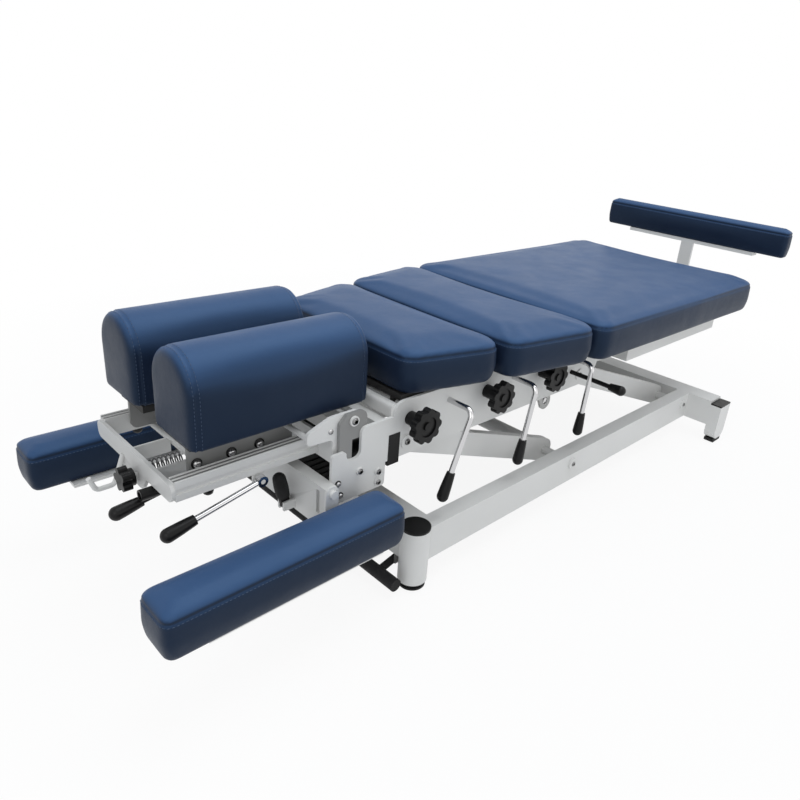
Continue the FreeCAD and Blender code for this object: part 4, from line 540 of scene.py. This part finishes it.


# The grey strips at the foot of the grooves are painted shade.
lips, groove_shade = bmesh.new(), bmesh.new()
for side in (-1, 1):
    edges = sorted((side * (RAIL_INNER + 0.001), side * (RAIL_OUTER - 0.001)))
    lip(groove_shade, Vector((RAIL_FRONT, edges[0], RAIL_TOP)),
        Vector((RAIL_REAR, edges[1], RAIL_TOP + GROOVE_HEIGHT)))
    for inner in (RAIL_INNER, (RAIL_INNER + RAIL_OUTER - LIP_WIDTH) / 2, RAIL_OUTER - LIP_WIDTH):
        edges = sorted((side * inner, side * (inner + LIP_WIDTH)))
        lip(lips, Vector((RAIL_FRONT, edges[0], RAIL_TOP)),
            Vector((RAIL_REAR, edges[1], RAIL_TOP + LIP_HEIGHT)))
finished(lips, "head_rail_lips", white_coat, "head_frame")
finished(groove_shade, "head_rail_groove_shade", grey_coat_and_shade, "head_frame")
ARM_BOLT_X, ARM_BOLT_Z, ARM_BOLT_RADIUS, ARM_BOLT_HEIGHT = -0.6265, 0.3290, 0.0048, 0.0028
arm_bolts = bmesh.new()
for side in (-1, 1):
    place = Vector((ARM_BOLT_X, side * ARM_OUTER, ARM_BOLT_Z))
    button_head(arm_bolts, place, (0, side, 0), ARM_BOLT_RADIUS, ARM_BOLT_HEIGHT)
finished(arm_bolts, "head_arm_bolts", zinc, "head_frame")

# Tension spring of the head section.
# A coil of dark plated wire sits round the star knob's stud, between the front plate and the release
# mount, with a thin rib on each side that stiffens the front plate.
FRONT_PLATE_REAR, MOUNT_FRONT = -0.8660, -0.8000
SPRING_Y, SPRING_Z, SPRING_RADIUS, SPRING_WIRE, SPRING_TURNS = -0.016, 0.270, 0.0095, 0.0013, 9


def coil(name, start, end, radius, wire, turns, material, body):
    """Wire coil between two places along X, swept as a curve and kept as a mesh."""
    line = bpy.data.curves.new(name, "CURVE")
    line.dimensions = "3D"
    line.bevel_depth = wire
    line.bevel_resolution = 3
    spline = line.splines.new("NURBS")
    count = turns * 12 + 1
    spline.points.add(count - 1)
    for number in range(count):
        share = number / (count - 1)
        angle = 2 * math.pi * turns * share
        spot = start.lerp(end, share) + Vector((0, math.cos(angle) * radius, math.sin(angle) * radius))
        spline.points[number].co = (*spot, 1)
    spline.order_u = 3
    spline.use_endpoint_u = True
    path = bpy.data.objects.new(name + "_line", line)
    scene.collection.objects.link(path)
    data = bpy.data.meshes.new_from_object(path.evaluated_get(bpy.context.evaluated_depsgraph_get()))
    bpy.data.objects.remove(path)
    data.materials.clear()
    data.materials.append(material)
    data.shade_smooth()
    piece = bpy.data.objects.new(name, data)
    scene.collection.objects.link(piece)
    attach(piece, body)


RIB_PLACES, RIB_THICKNESS, RIB_FOOT, RIB_TOP, RIB_CUT = (-0.060, 0.022), 0.004, 0.262, 0.288, 0.25


def rib(mesh, low, high):
    """Thin upright plate with its upper corners cut away."""
    cut = (high.z - low.z) * RIB_CUT
    outline = [(low.x, low.z), (high.x, low.z), (high.x, high.z - cut), (high.x - cut, high.z),
               (low.x + cut, high.z), (low.x, high.z - cut)]
    upright_plate(mesh, outline, low.y, high.y)


spring_steel, tree, shader = finish("spring_steel", 1.0, 0.45)
wire_tone = ramp(tree, noise(tree, 240.0, 3.0), "Fac", 0.3, 0.7, (0.10, 0.10, 0.105), (0.17, 0.17, 0.175))
join(tree, wire_tone, "Color", shader, "Base Color")
coil("head_tension_spring", Vector((FRONT_PLATE_REAR, SPRING_Y, SPRING_Z)),
     Vector((MOUNT_FRONT, SPRING_Y, SPRING_Z)), SPRING_RADIUS, SPRING_WIRE, SPRING_TURNS, spring_steel,
     "head_frame")
ribs = bmesh.new()
for y in RIB_PLACES:
    rib(ribs, Vector((FRONT_PLATE_REAR, y, RIB_FOOT)), Vector((MOUNT_FRONT, y + RIB_THICKNESS, RIB_TOP)))
finished(ribs, "head_front_ribs", white_coat, "head_frame")

# Head carriage.
# Two plates carry the cushion boards; their grey coat is painted shade for the shadow they stand in under
# the cushions. Domed bolts hold them, on black rings that are washers and also painted shade round each
# dome.
# Painted shade: the grey coat on these plates stands for their shadow under the cushions.
dress("head_carriage_plates", grey_coat_and_shade, 0.0008)
dress("head_boards", board_stain, 0.0008)
CARRIAGE_OUTER, CARRIAGE_BOLT_Z, CARRIAGE_BOLT_X = 0.103, 0.3040, (-0.8180, -0.7610, -0.7120)
CARRIAGE_BOLT_RADIUS, CARRIAGE_BOLT_HEIGHT = 0.0062, 0.0042
# Black rings under the domes: washers, and also painted shade round each dome.
CARRIAGE_WASHER_SHADE_ROWS = ((0.0088, 0, 0), (0.0088, 0.0014, 0), (0.0078, 0.0020, 0))
domes, rings = bmesh.new(), bmesh.new()
for side in (-1, 1):
    for x in CARRIAGE_BOLT_X:
        place = Vector((x, side * CARRIAGE_OUTER, CARRIAGE_BOLT_Z))
        lathe(rings, CARRIAGE_WASHER_SHADE_ROWS, facing(place, (0, side, 0)))
        place.y += side * CARRIAGE_WASHER_SHADE_ROWS[-1][1]
        button_head(domes, place, (0, side, 0), CARRIAGE_BOLT_RADIUS, CARRIAGE_BOLT_HEIGHT)
finished(domes, "carriage_bolts", zinc, "head_carriage")
finished(rings, "carriage_washer_shade_rings", plastic, "head_carriage")

# Clamp button.
# A moulded dome under each head rail covers the nut that clamps the front plate.
RAIL_MIDDLE, RAIL_FOOT, BUTTON_X, BUTTON_RADIUS = 0.123, 0.270, -0.812, 0.0085
BUTTON_PROFILE = ((1, 0), (1, 0.005), (0.86, 0.009), (0.5, 0.0115), (0.12, 0.0124))
buttons = bmesh.new()
for side in (-1, 1):
    rows = [(BUTTON_RADIUS * share, height, 0) for share, height in BUTTON_PROFILE]
    lathe(buttons, rows, facing(Vector((BUTTON_X, side * RAIL_MIDDLE, RAIL_FOOT)), (0, 0, -1)))
finished(buttons, "rail_buttons", plastic, "head_frame")

# Head levers.
# The cocking lever is a plated rod with a moulded grip; the release, lock and tilt levers are
# black, and a lobed star knob sets the tension.
dress("head_star_knob", plastic, 0.001)
dress("head_drop_lever", chrome, 0.0004)
dress("head_drop_grip", plastic)
dress("head_release_lever", plastic, 0.0004)
dress("head_lock_lever", plastic, 0.0004)
dress("tilt_release_lever", rubber, 0.0004)

# Armrest arms and ankle rest bracket.
# Folded steel, coated white like the frame.
dress("armrest_arm_near", white_coat, 0.0008)
dress("armrest_arm_far", white_coat, 0.0008)
dress("ankle_rest_bracket", white_coat, 0.0012)

# Block cushions.
# Firm foam on a board under stretched navy vinyl, with painted light: its colour is several times
# paler on faces that point up. Each panel swells between its seams, the seams are drawn in, and stitches
# run beside them.
vinyl, tree, shader = finish("vinyl", 0.0, 0.4)
clouds = noise(tree, 7.0, 5.0)
# Painted light: the tone for faces that point up is several times paler than the tone for the sides.
painted_shade_side_tone = ramp(tree, clouds, "Fac", 0.3, 0.72, (0.010, 0.018, 0.040), (0.012, 0.021, 0.046))
painted_light_top_tone = ramp(tree, clouds, "Fac", 0.3, 0.72, (0.041, 0.089, 0.198), (0.045, 0.097, 0.215))
place = tree.nodes.new("ShaderNodeTexCoord")
facing_up = tree.nodes.new("ShaderNodeSeparateXYZ")
join(tree, place, "Normal", facing_up, "Vector")
# Painted light by facing: the object-space normal's Z blends the side tone into the paler top tone.
painted_top_light = tree.nodes.new("ShaderNodeMapRange")
painted_top_light.interpolation_type = "SMOOTHSTEP"
painted_top_light.inputs["From Min"].default_value = 0.0
painted_top_light.inputs["From Max"].default_value = 0.9
join(tree, facing_up, "Z", painted_top_light, "Value")
lit_and_shaded_tone = mix(tree, "MIX", painted_top_light, painted_shade_side_tone.outputs["Color"], painted_light_top_tone.outputs["Color"])
tree.links.new(lit_and_shaded_tone, shader.inputs["Base Color"])
pebbles = tree.nodes.new("ShaderNodeTexVoronoi")
pebbles.feature = "DISTANCE_TO_EDGE"
pebbles.inputs["Scale"].default_value = 620.0
join(tree, place, "Object", pebbles, "Vector")
grain = grey_ramp(tree, pebbles, "Distance", 0.02, 0.28, 0.0, 1.0)
folds = bump(tree, shader, noise(tree, 26.0, 3.0), "Fac", 0.22, 0.004)
bump(tree, shader, grain, "Color", 0.30, 0.00025, folds)
sheen = grey_ramp(tree, noise(tree, 16.0, 5.0), "Fac", 0.3, 0.7, 0.36, 0.46)
join(tree, sheen, "Color", shader, "Roughness")
shader.inputs["Specular IOR Level"].default_value = 0.20
shader.inputs["Specular Tint"].default_value = (0.55, 0.78, 1.0, 1)
shader.inputs["Sheen Weight"].default_value = 0.02
shader.inputs["Sheen Roughness"].default_value = 0.45
shader.inputs["Sheen Tint"].default_value = (0.20, 0.48, 1.0, 1)

thread, tree, shader = finish("thread", 0.0, 0.6)
ply_twist = noise(tree, 900.0, 2.0, (1, 1, 4))
twist = ramp(tree, ply_twist, "Fac", 0.35, 0.65, (0.030, 0.055, 0.11), (0.055, 0.095, 0.17))
join(tree, twist, "Color", shader, "Base Color")


FOAM_FRAMES, FOAM_PRESSURE, VINYL_STRETCH, VINYL_BEND, QUICK_SWELL = 14, 2.5, 25, 5.0, 0.6


def foam(name, node, voxel, seams, cap):
    """Copy of a CAD cushion, swollen from inside by no more than the cap.

    Each seam is (axis, place): a plane that stays drawn in, as the edge on the board does.
    """
    mesh = NODES[node].data.copy()
    mesh.materials.clear()
    pad = bpy.data.objects.new(name, mesh)
    scene.collection.objects.link(pad)
    remesh = pad.modifiers.new("even", "REMESH")
    remesh.mode = "VOXEL"
    remesh.voxel_size = voxel
    depsgraph = bpy.context.evaluated_depsgraph_get()
    even = bpy.data.meshes.new_from_object(pad.evaluated_get(depsgraph))
    pad.modifiers.clear()
    pad.data = even
    count = len(even.vertices)
    rest = np.empty(count * 3)
    even.vertices.foreach_get("co", rest)
    rest = rest.reshape(-1, 3)
    normals = np.empty(count * 3)
    even.vertices.foreach_get("normal", normals)
    normals = normals.reshape(-1, 3)
    held = np.zeros(count)
    for axis, place in seams:
        across = np.abs(normals[:, axis]) < 0.8
        held[(np.abs(rest[:, axis] - place) < voxel * 0.9) & across] = 1
    held[rest[:, 2] < rest[:, 2].min() + voxel * 0.6] = 1
    group = pad.vertex_groups.new(name="held")
    for index in np.nonzero(held)[0]:
        group.add([int(index)], 1.0, "REPLACE")
    cloth = pad.modifiers.new("swell", "CLOTH")
    cloth.settings.vertex_group_mass = "held"
    cloth.settings.use_pressure = True
    cloth.settings.uniform_pressure_force = FOAM_PRESSURE
    cloth.settings.effector_weights.gravity = 0
    cloth.settings.quality = 4
    cloth.settings.tension_stiffness = VINYL_STRETCH
    cloth.settings.compression_stiffness = VINYL_STRETCH
    cloth.settings.bending_stiffness = VINYL_BEND
    cloth.point_cache.frame_start = 1
    cloth.point_cache.frame_end = FOAM_FRAMES
    for step in range(1, FOAM_FRAMES + 1):
        scene.frame_set(step)
    swollen = pad.evaluated_get(bpy.context.evaluated_depsgraph_get()).to_mesh()
    moved = np.empty(count * 3)
    swollen.vertices.foreach_get("co", moved)
    pad.modifiers.clear()
    scene.frame_set(1)
    shift = moved.reshape(-1, 3) - rest
    length = np.linalg.norm(shift, axis=1)
    shift *= np.minimum(1, cap / np.maximum(length, 1e-9))[:, None]
    even.vertices.foreach_set("co", (rest + shift).ravel())
    return pad


def refine(pad):
    """Evens the swollen mesh and splits each of its faces in four."""
    smooth = pad.modifiers.new("smooth", "SMOOTH")
    smooth.factor = 0.5
    smooth.iterations = 5
    finer = pad.modifiers.new("finer", "SUBSURF")
    finer.levels = 1
    finer.render_levels = 1
    fine = bpy.data.meshes.new_from_object(pad.evaluated_get(bpy.context.evaluated_depsgraph_get()))
    pad.modifiers.clear()
    pad.data = fine


SEAM_WIDTH, SEAM_DEPTH, FOLD_SPREAD, FOLD_SHARE = 0.0022, 0.0012, 3.2, 0.22


def draw_in(pad, seams):
    """Sinks the surface along each seam, with a wider and uneven fold beside it."""
    mesh = pad.data
    count = len(mesh.vertices)
    spots = np.empty(count * 3)
    mesh.vertices.foreach_get("co", spots)
    spots = spots.reshape(-1, 3)
    normals = np.empty(count * 3)
    mesh.vertices.foreach_get("normal", normals)
    normals = normals.reshape(-1, 3)
    sink = np.zeros(count)
    for axis, place in seams:
        away = (spots[:, axis] - place) / SEAM_WIDTH
        across = np.clip(1.25 - np.abs(normals[:, axis]), 0, 1)
        along = spots.sum(axis=1) - spots[:, axis]
        pucker = 0.8 + 0.2 * np.sin(along * 260 + 2 * np.sin(along * 71))
        sink += np.exp(-away ** 2) * across * SEAM_DEPTH
        sink += np.exp(-(away / FOLD_SPREAD) ** 2) * across * SEAM_DEPTH * FOLD_SHARE * pucker
    spots -= normals * sink[:, None]
    mesh.vertices.foreach_set("co", spots.ravel())
    mesh.shade_smooth()
    mesh.update()


STITCH_LENGTH, STITCH_GAP, STITCH_THICKNESS = 0.0042, 0.0018, 0.00045
STITCH_LIFT, PATH_BREAK = 0.0002, 0.05


def stitch(pad, name, loops, body):
    """Thread along closed loops: each loop gives rays (start, direction) towards the pad."""
    tree = BVHTree.FromObject(pad, bpy.context.evaluated_depsgraph_get())
    seam = bmesh.new()
    shape = Matrix.Diagonal((STITCH_THICKNESS, STITCH_THICKNESS, STITCH_LENGTH / 2, 1))
    for rays in loops:
        path = []
        for start, direction in rays:
            hit, normal, _, _ = tree.ray_cast(start, direction)
            if hit is not None:
                path.append(hit + normal * STITCH_LIFT)
        travelled = 0.0
        for first, second in zip(path, path[1:]):
            run = second - first
            if run.length > PATH_BREAK:
                continue
            while travelled < run.length:
                middle = first + run * (travelled / run.length)
                bmesh.ops.create_icosphere(seam, subdivisions=1, radius=1.0,
                                           matrix=facing(middle, run.normalized()) @ shape)
                travelled += STITCH_LENGTH + STITCH_GAP
            travelled -= run.length
    mesh = bpy.data.meshes.new(name)
    seam.to_mesh(mesh)
    seam.free()
    mesh.materials.append(thread)
    mesh.shade_smooth()
    row = bpy.data.objects.new(name, mesh)
    scene.collection.objects.link(row)
    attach(row, body)


RING_MARGIN, RING_AIM = 0.06, 0.3


def ring_rays(node, height, steps=720):
    """Rays from all round towards a block cushion's upright axis, at one height."""
    low, high = (Vector(corner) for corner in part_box(node))
    middle = (low + high) / 2
    half = (high - low) / 2 + Vector((RING_MARGIN, RING_MARGIN, 0))
    rays = []
    for number in range(steps + 1):
        turn = 2 * math.pi * number / steps
        x, y = math.cos(turn), math.sin(turn)
        reach = 1 / max(abs(x) / half.x, abs(y) / half.y)
        start = Vector((middle.x + x * reach, middle.y + y * reach, height))
        inner = Vector((middle.x + x * reach * RING_AIM, middle.y + y * reach * RING_AIM, height))
        rays.append((start, (inner - start).normalized()))
    return rays


def upholster(node, body, seams, voxel, cap):
    """Vinyl cover over one CAD cushion, on its body and in its place."""
    pad = foam(node.replace("cushion", "cover"), node, voxel, seams, cap)
    refine(pad)
    draw_in(pad, seams)
    pad.data.materials.clear()
    pad.data.materials.append(vinyl)
    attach(pad, body)
    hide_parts(node)
    return pad


# Each row: the CAD node, its body, how far its seam lies below its top, the mesh size and the
# most that it swells. The stitches run a little below the seam.
STITCH_DROP = 0.004
BLOCKS = (("thoracic_cushion", "thoracic_section", 0.020, 0.006, 0.004),
          ("lumbar_cushion", "lumbar_section", 0.020, 0.006, 0.004),
          ("pelvic_cushion", "pelvic_section", 0.020, 0.007, 0.004),
          ("armrest_cushion_near", "armrest_near", 0.018, 0.005, 0.003),
          ("armrest_cushion_far", "armrest_far", 0.018, 0.005, 0.003),
          ("ankle_cushion", "ankle_rest", 0.016, 0.004, 0.003))
for node, body, seam_depth, voxel, cap in BLOCKS:
    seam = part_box(node)[1][2] - seam_depth
    pad = upholster(node, body, [(2, seam)], voxel, cap)
    stitch(pad, node.replace("cushion", "stitches"), [ring_rays(node, seam - STITCH_DROP)], body)


# Head cushions.
# Half-round bolsters in the same vinyl, with an end panel let in at each end; the front seam is
# stitched on both sides, the rear one once.
ARCH_FROM, ARCH_SWEEP, ARCH_REACH = math.radians(-62), math.radians(304), 0.16


def arch_rays(node, x, steps=260):
    """Rays towards a bolster's axis from all sides but below, at one place along it."""
    low, high = (Vector(corner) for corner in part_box(node))
    middle = Vector((x, (low.y + high.y) / 2, high.z - (high.y - low.y) / 2))
    rays = []
    for number in range(steps + 1):
        turn = ARCH_FROM + ARCH_SWEEP * number / steps
        outward = Vector((0, math.cos(turn), math.sin(turn)))
        rays.append((middle + outward * ARCH_REACH, -outward))
    return rays


FRONT_SEAM, REAR_SEAM, HEAD_VOXEL, HEAD_CAP = 0.0130, 0.0120, 0.005, 0.004
FRONT_STITCHES, REAR_STITCHES = (0.0090, 0.0175), 0.0165
for side in ("near", "far"):
    node = "head_cushion_" + side
    front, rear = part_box(node)[0][0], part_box(node)[1][0]
    seams = [(0, front + FRONT_SEAM), (0, rear - REAR_SEAM)]
    pad = upholster(node, "head_carriage", seams, HEAD_VOXEL, HEAD_CAP)
    rows = [front + FRONT_STITCHES[0], front + FRONT_STITCHES[1], rear - REAR_STITCHES]
    stitch(pad, "head_stitches_" + side, [arch_rays(node, x) for x in rows], "head_carriage")
